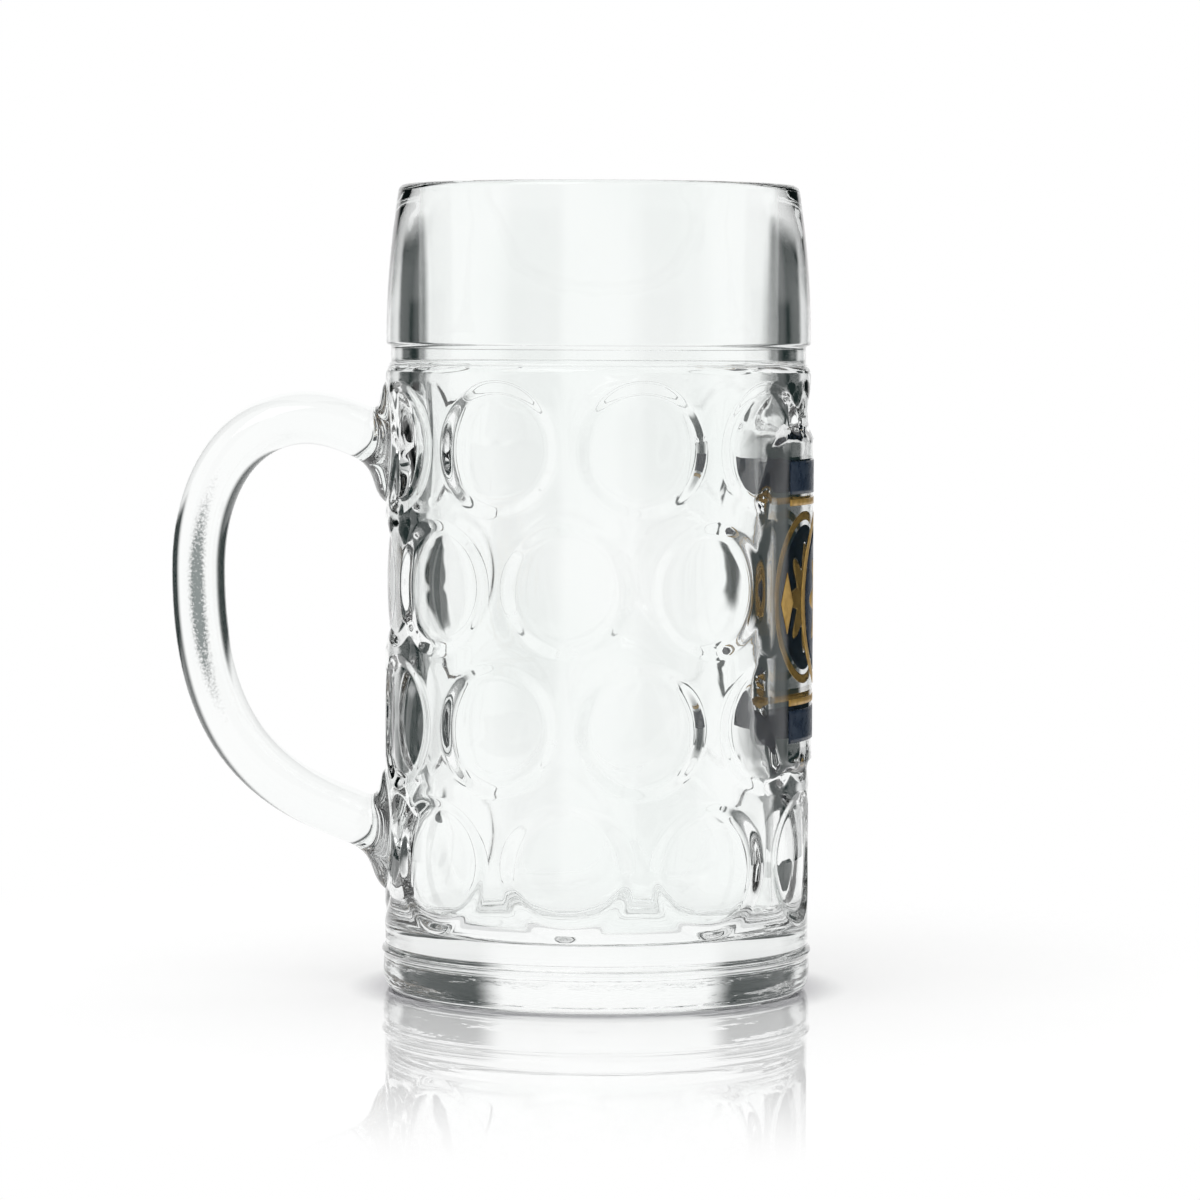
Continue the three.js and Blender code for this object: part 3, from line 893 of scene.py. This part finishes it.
def bow_ring(handle, point, ahead):
    """One oval section of the bow."""
    ring = []
    for angle in turns(HANDLE_SIDES):
        across = handle.thickness / 2 * math.cos(angle)
        side = handle.width / 2 * math.sin(angle)
        ring.append(point + Vector((-ahead.z * across, side, ahead.x * across)))
    return ring


def weld_point(mug, root, way, angle, reach):
    """A point of a weld on the wall, at a share of the way from its middle to its edge."""
    handle = mug.handle
    side = reach * handle.pad_width / 2 * math.sin(angle) / mug.cup.body_radius
    height = root + way * reach * handle.pad_height / 2 * math.cos(angle)
    radius = mug.cup.body_radius
    return Vector((-radius * math.cos(side), radius * math.sin(side), height))


def pad_rings(mug, root, way, ring, outward):
    """Rings that flare from a section of the bow to the weld's edge on the wall."""
    rings = []
    middle = weld_point(mug, root, way, 0.0, 0.0)
    away = Vector((-PAD_OUTWARD, 0.0, 0.0))
    for step in range(1, FILLET_STEPS + 1):
        t = step / FILLET_STEPS
        points = []
        for angle, start in zip(turns(HANDLE_SIDES), ring):
            edge = weld_point(mug, root, way, angle, 1.0)
            gap = (edge - start).length
            inward = (middle - edge).normalized()
            leave = start - outward * (PAD_LEAVE * gap)
            arrive = edge + (inward * PAD_INWARD + away) * (PAD_ARRIVE * gap)
            points.append(bezier([start, leave, arrive, edge], t))
        rings.append(points)
    return rings


def cap_rings(mug, root, way):
    """Rings of a weld's face, from inside its edge to near its middle."""
    reaches = [1.0 - i / CAP_RINGS for i in range(1, CAP_RINGS)]
    return [
        [weld_point(mug, root, way, angle, reach) for angle in turns(HANDLE_SIDES)]
        for reach in reaches
    ]


def handle_blank(mug):
    """The bow with its flared pads, closed by its two weld faces."""
    line = bow_line(mug)
    bow = [bow_ring(mug.handle, point, ahead) for point, ahead in line]
    upper = pad_rings(mug, mug.upper_root, -1, bow[0], line[0][1])
    lower = pad_rings(mug, mug.lower_root, 1, bow[-1], -line[-1][1])
    upper_cap = cap_rings(mug, mug.upper_root, -1)
    lower_cap = cap_rings(mug, mug.lower_root, 1)
    rings = upper_cap[::-1] + upper[::-1] + bow + lower + lower_cap
    first = weld_point(mug, mug.upper_root, -1, 0.0, 0.0)
    last = weld_point(mug, mug.lower_root, 1, 0.0, 0.0)
    obj = lofted("handle_glass", rings, first, last)
    # Marks the front of the bow where a dark reflection is painted into the glass colour.
    mark = obj.data.attributes.new(PAINTED_STREAK_MARK, "FLOAT", "POINT")
    angles = turns(HANDLE_SIDES) * len(rings)
    for point, angle in zip(obj.data.vertices[1:-1], angles):
        across = math.cos(angle) / PAINTED_STREAK_SPREAD
        along = (point.co.z - mug.painted_streak_height) / mug.handle.painted_reflection_streak
        front = math.sin(angle) < 0
        mark.data[point.index].value = math.exp(-across * across - along * along) * front
    ends = [1] * (len(upper_cap) + 1)
    welds = (ends + [0] * (len(rings) + 1 - 2 * len(ends)) + ends) * HANDLE_SIDES
    for face, weld in zip(obj.data.polygons, welds):
        face.material_index = weld
        face.use_smooth = True
    return obj


# Print: flat islands, with x round the panel, y up it and z off its face, then wrapped on to it


def polar_island(name, outside, inside, enamel):
    """A flat island between two outlines given as radius by angle; inside may be None."""
    parts = [i / PRINT_RINGS for i in range(1 if inside is None else 0, PRINT_RINGS + 1)]

    def ring(part, level):
        points = []
        for angle in turns(PRINT_TURN_STEPS):
            low = 0.0 if inside is None else inside(angle)
            radius = low + (outside(angle) - low) * part
            points.append((radius * math.cos(angle), radius * math.sin(angle), level))
        return points

    rings = [ring(part, enamel.proud) for part in parts]
    rings += [ring(part, -enamel.sunk) for part in reversed(parts)]
    if inside is None:
        return lofted(name, rings, (0.0, 0.0, enamel.proud), (0.0, 0.0, -enamel.sunk))
    return lofted(name, rings, closed=True)


def bar_island(name, width, low, high, enamel):
    """A flat bar between two heights."""
    columns = max(2, round(width / PRINT_STEP))
    rows = max(2, round((high - low) / PRINT_STEP))
    heights = [low + (high - low) * j / rows for j in range(rows + 1)]
    rings = []
    for i in range(columns + 1):
        x = width * (i / columns - 0.5)
        ring = [(x, y, enamel.proud) for y in heights]
        rings.append(ring + [(x, y, -enamel.sunk) for y in reversed(heights)])
    sides = len(rings[0])
    end = columns * sides
    extra = []
    for j in range(rows):
        near = (j, j + 1, sides - 2 - j, sides - 1 - j)
        extra += [near, tuple(end + k for k in reversed(near))]
    return lofted(name, rings, extra=extra)


def lozenge_island(name, centre, enamel):
    """A flat lozenge beside the ring."""
    half_width, half_height = enamel.lozenge_width / 2, enamel.lozenge_height / 2

    def edge(angle):
        return 1.0 / (abs(math.cos(angle)) / half_width + abs(math.sin(angle)) / half_height)

    obj = polar_island(name, edge, None, enamel)
    for point in obj.data.vertices:
        point.co.x += centre
    return obj


def wrapped_print_tree():
    """Wraps a flat island of print round the panel."""
    tree, entry, size = shape_tree("Wrapped print", ("Panel Radius", "Panel Centre"))
    enamel = material_input(tree, entry, "Enamel")
    place = tree.nodes.new("GeometryNodeInputPosition")
    round_by, up, off = split_vector(tree, place.outputs["Position"])
    angle = round_by / size["Panel Radius"]
    radius = off + size["Panel Radius"]
    parts = (
        reckon(tree, "COSINE", angle) * radius,
        reckon(tree, "SINE", angle) * radius,
        up + size["Panel Centre"],
    )
    finish_shape(tree, moved(tree, entry.outputs["Geometry"], parts), enamel)
    return tree


# Materials


def detail_group(name, inputs, outputs):
    """A shader node group with named inputs and outputs: the group, its entry and its exit."""
    group = bpy.data.node_groups.new(name, "ShaderNodeTree")
    for label, kind, value in inputs:
        socket = group.interface.new_socket(label, in_out="INPUT", socket_type="NodeSocket" + kind)
        if value is not None:
            socket.default_value = value
    for label, kind in outputs:
        group.interface.new_socket(label, in_out="OUTPUT", socket_type="NodeSocket" + kind)
    return group, group.nodes.new("NodeGroupInput"), group.nodes.new("NodeGroupOutput")


def noise(tree, vector, scale, detail=2.0, roughness=0.5):
    """Noise of a given scale at a place, as a field."""
    inputs = {"Vector": vector, "Scale": scale, "Detail": detail, "Roughness": roughness}
    return Field(add_node(tree, "ShaderNodeTexNoise", inputs).outputs["Fac"])


def stretched(tree, vector, scales):
    """A place with each of its parts scaled by its own number."""
    inputs = {0: vector, 1: scales}
    return add_node(tree, "ShaderNodeVectorMath", inputs, operation="MULTIPLY").outputs["Vector"]


def mixed(tree, factor, first, second):
    """One colour turning into another by a field."""
    inputs = {"Factor": factor}
    for index, tint in ((MIX_FIRST, first), (MIX_SECOND, second)):
        inputs[index] = tint if isinstance(tint, bpy.types.NodeSocket) else (*tint, 1.0)
    return add_node(tree, "ShaderNodeMix", inputs, data_type="RGBA").outputs[MIX_RESULT]


def pressed_glass_group():
    """Ripple, tint and handling haze of pressed glass."""
    inputs = (
        ("Position", "Vector", None), ("Ripple Scale", "Float", 70.0), ("Grain Scale", "Float", 320.0)
    )
    outputs = (("Height", "Float"), ("Tint", "Float"), ("Haze", "Float"))
    group, entry, leave = detail_group("Pressed glass", inputs, outputs)
    place = entry.outputs["Position"]
    ripple = noise(group, place, Field(entry.outputs["Ripple Scale"]), detail=1.0)
    grain = noise(group, place, Field(entry.outputs["Grain Scale"]), detail=1.0)
    height = ripple * RIPPLE_SHARE + grain * (1.0 - RIPPLE_SHARE)
    tint = noise(group, place, TINT_SCALE).ramp(0.3, 0.75)
    haze = noise(group, place, HAZE_SCALE, detail=5.0, roughness=0.65).ramp(0.55, 0.8) * HAZE_ROUGHNESS
    fill(group, leave, {"Height": height, "Tint": tint, "Haze": haze})
    return group


def fired_enamel_group():
    """Mottled colour, gloss and screen grain of fired enamel."""
    inputs = (
        ("Position", "Vector", None), ("Colour", "Color", None), ("Shade", "Color", None),
        ("Gloss", "Float", 0.3),
    )
    outputs = (("Colour", "Color"), ("Roughness", "Float"), ("Height", "Float"))
    group, entry, leave = detail_group("Fired enamel", inputs, outputs)
    place = entry.outputs["Position"]
    mottle = noise(group, place, MOTTLE_SCALE, detail=4.0, roughness=0.6).ramp(0.38, 0.68)
    grain = noise(group, place, SCREEN_SCALE)
    tint = mixed(group, mottle, entry.outputs["Colour"], entry.outputs["Shade"])
    rough = Field(entry.outputs["Gloss"]) + mottle * MOTTLE_ROUGHNESS + grain * SCREEN_ROUGHNESS
    height = grain * SCREEN_SHARE + mottle * (1.0 - SCREEN_SHARE)
    fill(group, leave, {"Colour": tint, "Roughness": rough, "Height": height})
    return group


def new_material(name):
    """A node material: the material, its tree and its shader."""
    material = bpy.data.materials.new(name)
    material.use_nodes = True
    tree = material.node_tree
    return material, tree, tree.nodes["Principled BSDF"]


def detail(tree, group, **values):
    """A detail group in a material, on Object coordinates, with its own values."""
    place = tree.nodes.new("ShaderNodeTexCoord").outputs["Object"]
    inputs = {"Position": place, **values}
    return add_node(tree, "ShaderNodeGroup", inputs, node_tree=group), place


def bump(tree, shader, height, distance):
    """Turns a height into the shader's normal."""
    inputs = {"Strength": 1.0, "Distance": distance, "Height": height}
    node = add_node(tree, "ShaderNodeBump", inputs)
    fill(tree, shader, {"Normal": node.outputs["Normal"]})


def unwelded(tree, place, mug):
    """0 inside the two welds on the outer wall, where the glass runs on, and 1 elsewhere."""
    x, y, height = split_vector(tree, place)
    turned_by = reckon(tree, "ARCTAN2", y, x)
    reach = pad_reach(tree, eye_inputs(mug), turned_by, height, 0.0)
    middle = (mug.cup.body_radius + mug.cup.bore_radius) / 2
    outer = reckon(tree, "GREATER_THAN", hypot(tree, x, y), middle)
    return 1.0 - reckon(tree, "LESS_THAN", reach, 1.0) * outer


def glass_material(name, mug, scuffed, **scales):
    """Clear pressed glass: a scuffed piece has a worn standing ring, the other a dimpled streak on the bow
    with a painted dark reflection.
    """
    finish = mug.finish
    group = bpy.data.node_groups.get("Pressed glass") or pressed_glass_group()
    material, tree, shader = new_material(name)
    surface, place = detail(tree, group, **scales)
    tint = mixed(tree, Field(surface.outputs["Tint"]), finish.clear, finish.deep)
    rough = Field(surface.outputs["Haze"])
    if scuffed:
        height = split_vector(tree, place)[2]
        worn = noise(tree, place, WORN_SCALE, detail=4.0, roughness=0.7).ramp(0.45, 0.7)
        below = 1.0 - height.ramp(*UNDERSIDE_FADE)
        rough = rough + below * (worn * WORN_ROUGHNESS + UNDERSIDE_ROUGHNESS)
        streaks = noise(tree, stretched(tree, place, STREAK_SCALES), 1.0)
        streaks = streaks * (1.0 - height.ramp(*STREAK_FADE))
        fill(tree, shader, {"Alpha": unwelded(tree, place, mug)})
        chill = noise(tree, place, CHILL_SCALE) * below
        relief = Field(surface.outputs["Height"]) + streaks * STREAK_RELIEF + chill * CHILL_RELIEF
    else:
        mark = tree.nodes.new("ShaderNodeAttribute")
        mark.attribute_name = PAINTED_STREAK_MARK
        painted_reflection_streak = Field(mark.outputs["Fac"])
        dimples = noise(tree, place, DIMPLE_SCALE, detail=3.0, roughness=0.6)
        relief = Field(surface.outputs["Height"]) + dimples * painted_reflection_streak * DIMPLE_RELIEF
        # Painted dark reflection: inside the dimpled streak the glass colour turns towards the dark streak
        # colour.
        tint = mixed(tree, (dimples * painted_reflection_streak).ramp(0.1, 0.4), tint, finish.painted_reflection_streak)
    fill(tree, shader, {"Base Color": tint, "Roughness": rough})
    fill(tree, shader, {"Transmission Weight": 1.0, "IOR": finish.glass_index})
    bump(tree, shader, relief, finish.ripple)
    return material


def weld_material():
    """Nothing to see: glass runs on through a weld."""
    material, _, shader = new_material("weld_fused")
    shader.inputs["Alpha"].default_value = 0.0
    return material


def enamel_material(name, group, base, shade, metal, gloss):
    """One colour of the fired print."""
    material, tree, shader = new_material(name)
    values = {"Colour": (*base, 1.0), "Shade": (*shade, 1.0), "Gloss": gloss}
    surface, _ = detail(tree, group, **values)
    inputs = {
        "Base Color": surface.outputs["Colour"],
        "Roughness": surface.outputs["Roughness"],
        "Metallic": metal,
        "Specular IOR Level": ENAMEL_SPECULAR,
    }
    fill(tree, shader, inputs)
    bump(tree, shader, surface.outputs["Height"], ENAMEL_RELIEF)
    return material


# Stage


def azimuth_window(tree, angle, low, high, soft):
    """1 between two angles in degrees, with soft edges."""
    low, high, soft = (math.radians(value) for value in (low, high, soft))
    return angle.ramp(low - soft, low + soft) * (1.0 - angle.ramp(high - soft, high + soft))


def studio_world(stage):
    """White studio whose dark flags show only in the glass."""
    world = bpy.data.worlds.new("White studio")
    world.use_nodes = True
    world.cycles.sampling_method = "NONE"
    tree = world.node_tree
    tree.nodes.clear()
    place = tree.nodes.new("ShaderNodeTexCoord")
    x, y, z = split_vector(tree, place.outputs["Generated"])
    angle = reckon(tree, "ARCTAN2", abs(y), x)
    handle_side = azimuth_window(tree, angle, *HANDLE_FLAG, FLAG_SOFT)
    print_side = azimuth_window(tree, angle, *PRINT_FLAG, FLAG_SOFT)
    behind = y.ramp(-FLAG_TURN, FLAG_TURN) * (1.0 - FLAG_FRONT) + FLAG_FRONT
    above = z.ramp(*FLAG_FOOT)
    ceiling = z.ramp(*CEILING) * CEILING_SHARE
    flags = greatest(tree, greatest(tree, handle_side, print_side) * behind * above, ceiling)
    path = tree.nodes.new("ShaderNodeLightPath")
    plain = greatest(
        tree, Field(path.outputs["Is Diffuse Ray"]), Field(path.outputs["Is Camera Ray"])
    )
    seen = mixed(tree, flags * (1.0 - plain), (1.0, 1.0, 1.0), stage.flag_colour)
    light = add_node(tree, "ShaderNodeBackground", {"Color": seen})
    add_node(tree, "ShaderNodeOutputWorld", {"Surface": light.outputs["Background"]})
    bpy.context.scene.world = world


def floor_material(stage):
    """Pale glossy floor near the mug that runs out to plain white, with a painted contact shadow round the
    foot and a glowing white patch under it.
    """
    material, tree, shader = new_material("studio_floor")
    place = tree.nodes.new("ShaderNodeTexCoord")
    x, y, _ = split_vector(tree, place.outputs["Object"])
    out = hypot(tree, x, y)
    # Glowing white patch under the foot that lights the base from below.
    under = 1.0 - out.ramp(stage.floor_under, stage.floor_edge)
    path = tree.nodes.new("ShaderNodeLightPath")
    through = Field(path.outputs["Is Transmission Ray"]) * FLOOR_SEEN_THROUGH
    # Share of white emission: plain white far out, the glow under the foot, and most of the floor as seen
    # through the glass.
    far = greatest(tree, out.ramp(stage.floor_near, stage.floor_far), under, through)
    cloud = noise(tree, place.outputs["Object"], FLOOR_CLOUD_SCALE, detail=3.0)
    shaded = [part * FLOOR_CLOUD_SHADE for part in stage.floor_colour]
    pale = mixed(tree, cloud, stage.floor_colour, shaded)
    # Painted contact shadow: the floor colour turns grey in a ring just outside the foot.
    contact = 1.0 - out.ramp(stage.floor_edge, stage.floor_contact)
    tint = mixed(tree, contact, pale, stage.painted_contact_shadow_colour)
    rough = cloud * FLOOR_CLOUD_ROUGHNESS + FLOOR_ROUGHNESS
    fill(tree, shader, {"Base Color": tint, "Roughness": rough, "IOR": FLOOR_INDEX})
    white = tree.nodes.new("ShaderNodeEmission")
    inputs = {"Fac": far, 1: shader.outputs["BSDF"], 2: white.outputs["Emission"]}
    blend = add_node(tree, "ShaderNodeMixShader", inputs)
    fill(tree, tree.nodes["Material Output"], {"Surface": blend.outputs["Shader"]})
    return material


def studio_floor(stage):
    """Round floor under the mug, a little below the standing ring."""
    rings = []
    for i in range(1, FLOOR_RINGS + 1):
        radius = stage.floor_radius * i / FLOOR_RINGS
        rings.append(
            [(radius * math.cos(a), radius * math.sin(a), -FLOOR_DROP) for a in turns(FLOOR_SIDES)]
        )
    floor = lofted("studio_floor", rings, first=(0.0, 0.0, -FLOOR_DROP))
    floor.data.materials.append(floor_material(stage))


def softbox(name, location, size, power):
    """A large soft lamp aimed at the mug."""
    lamp = bpy.data.lights.new(name, "AREA")
    lamp.size = size
    lamp.energy = power
    obj = bpy.data.objects.new(name, lamp)
    obj.location = location
    aim = Vector(SOFTBOX_AIM) - Vector(location)
    obj.rotation_euler = aim.to_track_quat("-Z", "Y").to_euler()
    bpy.context.scene.collection.objects.link(obj)


def photo_camera(stage):
    """Camera at the photograph's angle."""
    data = bpy.data.cameras.new("photo_camera")
    data.lens = stage.lens
    camera = bpy.data.objects.new("photo_camera", data)
    side, back = math.sin(stage.camera_turn), math.cos(stage.camera_turn)
    camera.location = (
        -side * stage.camera_distance, -back * stage.camera_distance, stage.camera_height
    )
    target = Vector((back * stage.aim_side, -side * stage.aim_side, stage.aim_height))
    aim = (target - camera.location).to_track_quat("-Z", "Y").to_matrix()
    camera.rotation_euler = (aim @ Matrix.Rotation(stage.camera_roll, 3, "Z")).to_euler()
    bpy.context.scene.collection.objects.link(camera)
    bpy.context.scene.camera = camera


# Operators


class BEERMUG_OT_cup(bpy.types.Operator):
    """Make the pressed glass cup."""

    bl_idname = "beermug.cup"
    bl_label = "Cup"

    def execute(self, context):
        mug = context.scene.beer_mug
        scales = {"Ripple Scale": 55.0, "Grain Scale": 260.0}
        values = eye_inputs(mug)
        tree = pressed_eyes_tree(list(values))
        values["Glass"] = glass_material("cup_glass", mug, True, **scales)
        cup = shaped(cup_blank(mug), tree, values)
        settle(cup, "clear_glass", "mug_body")
        return {"FINISHED"}


class BEERMUG_OT_handle(bpy.types.Operator):
    """Make the bow handle with its welded pads."""

    bl_idname = "beermug.handle"
    bl_label = "Handle"

    def execute(self, context):
        mug = context.scene.beer_mug
        scales = {"Ripple Scale": 95.0, "Grain Scale": 380.0}
        handle = handle_blank(mug)
        handle.data.materials.append(glass_material("handle_glass", mug, False, **scales))
        handle.data.materials.append(weld_material())
        settle(handle, "clear_glass", "handle")
        return {"FINISHED"}


class BEERMUG_OT_print(bpy.types.Operator):
    """Make the enamel print on the panel."""

    bl_idname = "beermug.print"
    bl_label = "Enamel print"

    def execute(self, context):
        mug = context.scene.beer_mug
        enamel, panel, finish = mug.enamel, mug.panel, mug.finish
        group = fired_enamel_group()
        dark = enamel_material("dark_enamel", group, finish.dark, finish.dark_shade, DARK_METAL, DARK_GLOSS)
        gold = enamel_material("gold_enamel", group, finish.gold, finish.gold_shade, GOLD_METAL, GOLD_GLOSS)
        bar_width = panel.width - 2 * (panel.corner_run + enamel.side_margin)
        bar_top = panel.height / 2 - enamel.end_margin
        stripe_top = bar_top - enamel.bar_height - enamel.stripe_space
        ring = stripe_top - enamel.stripe_height - enamel.ring_space
        disc = ring - enamel.ring_breadth - enamel.disc_space
        swing = enamel.rosette_lobe / 2
        middle = disc - enamel.rosette_space - swing

        def rosette(split):
            return lambda angle: middle + split + swing * math.cos(enamel.petals * angle)

        def circle(radius):
            return lambda angle: radius

        islands = [
            ("disc", polar_island("enamel_disc", circle(disc), rosette(enamel.split), enamel), dark),
            ("rosette", polar_island("enamel_rosette", rosette(0.0), None, enamel), gold),
            (
                "ring",
                polar_island("enamel_ring", circle(ring), circle(ring - enamel.ring_breadth), enamel),
                gold,
            ),
        ]
        for place, way in (("upper", 1), ("lower", -1)):
            low, high = sorted((way * (bar_top - enamel.bar_height), way * bar_top))
            bar = bar_island("enamel_bar_" + place, bar_width, low, high, enamel)
            islands.append(("bar_" + place, bar, dark))
            low, high = sorted((way * (stripe_top - enamel.stripe_height), way * stripe_top))
            stripe = bar_island("enamel_stripe_" + place, bar_width, low, high, enamel)
            islands.append(("stripe_" + place, stripe, gold))
        beside = ring + enamel.lozenge_space + enamel.lozenge_width / 2
        for place, way in (("left", -1), ("right", 1)):
            lozenge = lozenge_island("enamel_lozenge_" + place, way * beside, enamel)
            islands.append(("lozenge_" + place, lozenge, gold))
        tree = wrapped_print_tree()
        for node, island, material in islands:
            values = {"Panel Radius": mug.panel_radius, "Panel Centre": mug.panel_centre}
            values["Enamel"] = material
            shaped(island, tree, values)
            settle(island, "dark_enamel" if material is dark else "gold_enamel", "print_" + node)
        return {"FINISHED"}


class BEERMUG_OT_stage(bpy.types.Operator):
    """Make the floor, the studio light and the camera."""

    bl_idname = "beermug.stage"
    bl_label = "Stage"

    def execute(self, context):
        stage = context.scene.beer_mug.stage
        scene = context.scene
        scene.view_settings.view_transform = "Standard"
        scene.cycles.max_bounces = GLASS_BOUNCES
        scene.cycles.transmission_bounces = GLASS_BOUNCES
        scene.cycles.glossy_bounces = GLOSSY_BOUNCES
        scene.cycles.transparent_max_bounces = CLEAR_BOUNCES
        studio_world(stage)
        studio_floor(stage)
        softbox("top_softbox", SOFTBOX_PLACE, SOFTBOX_SIZE, SOFTBOX_POWER)
        photo_camera(stage)
        return {"FINISHED"}


class BEERMUG_PT_pieces(bpy.types.Panel):
    """Lists the pieces of the mug."""

    bl_label = "Beer Mug"
    bl_idname = "BEERMUG_PT_pieces"
    bl_space_type = "VIEW_3D"
    bl_region_type = "UI"
    bl_category = "Beer Mug"

    def draw(self, context):
        for operator in OPERATORS:
            self.layout.operator(operator.bl_idname)


SETTINGS = (
    CupSizes, EyeSizes, PanelSizes, HandleSizes, PrintSizes, Finishes, StageSizes, MugSettings
)
OPERATORS = (BEERMUG_OT_cup, BEERMUG_OT_handle, BEERMUG_OT_print, BEERMUG_OT_stage)
CLASSES = (*SETTINGS, *OPERATORS, BEERMUG_PT_pieces)


def register():
    """Registers the classes and hangs the settings on the scene."""
    for each in CLASSES:
        bpy.utils.register_class(each)
    bpy.types.Scene.beer_mug = PointerProperty(type=MugSettings)


def unregister():
    """Takes the settings and the classes away again."""
    del bpy.types.Scene.beer_mug
    for each in reversed(CLASSES):
        bpy.utils.unregister_class(each)


def main():
    """Makes every piece."""
    register()
    bpy.ops.beermug.cup()
    bpy.ops.beermug.handle()
    bpy.ops.beermug.print()
    bpy.ops.beermug.stage()


if __name__ == "__main__":
    main()
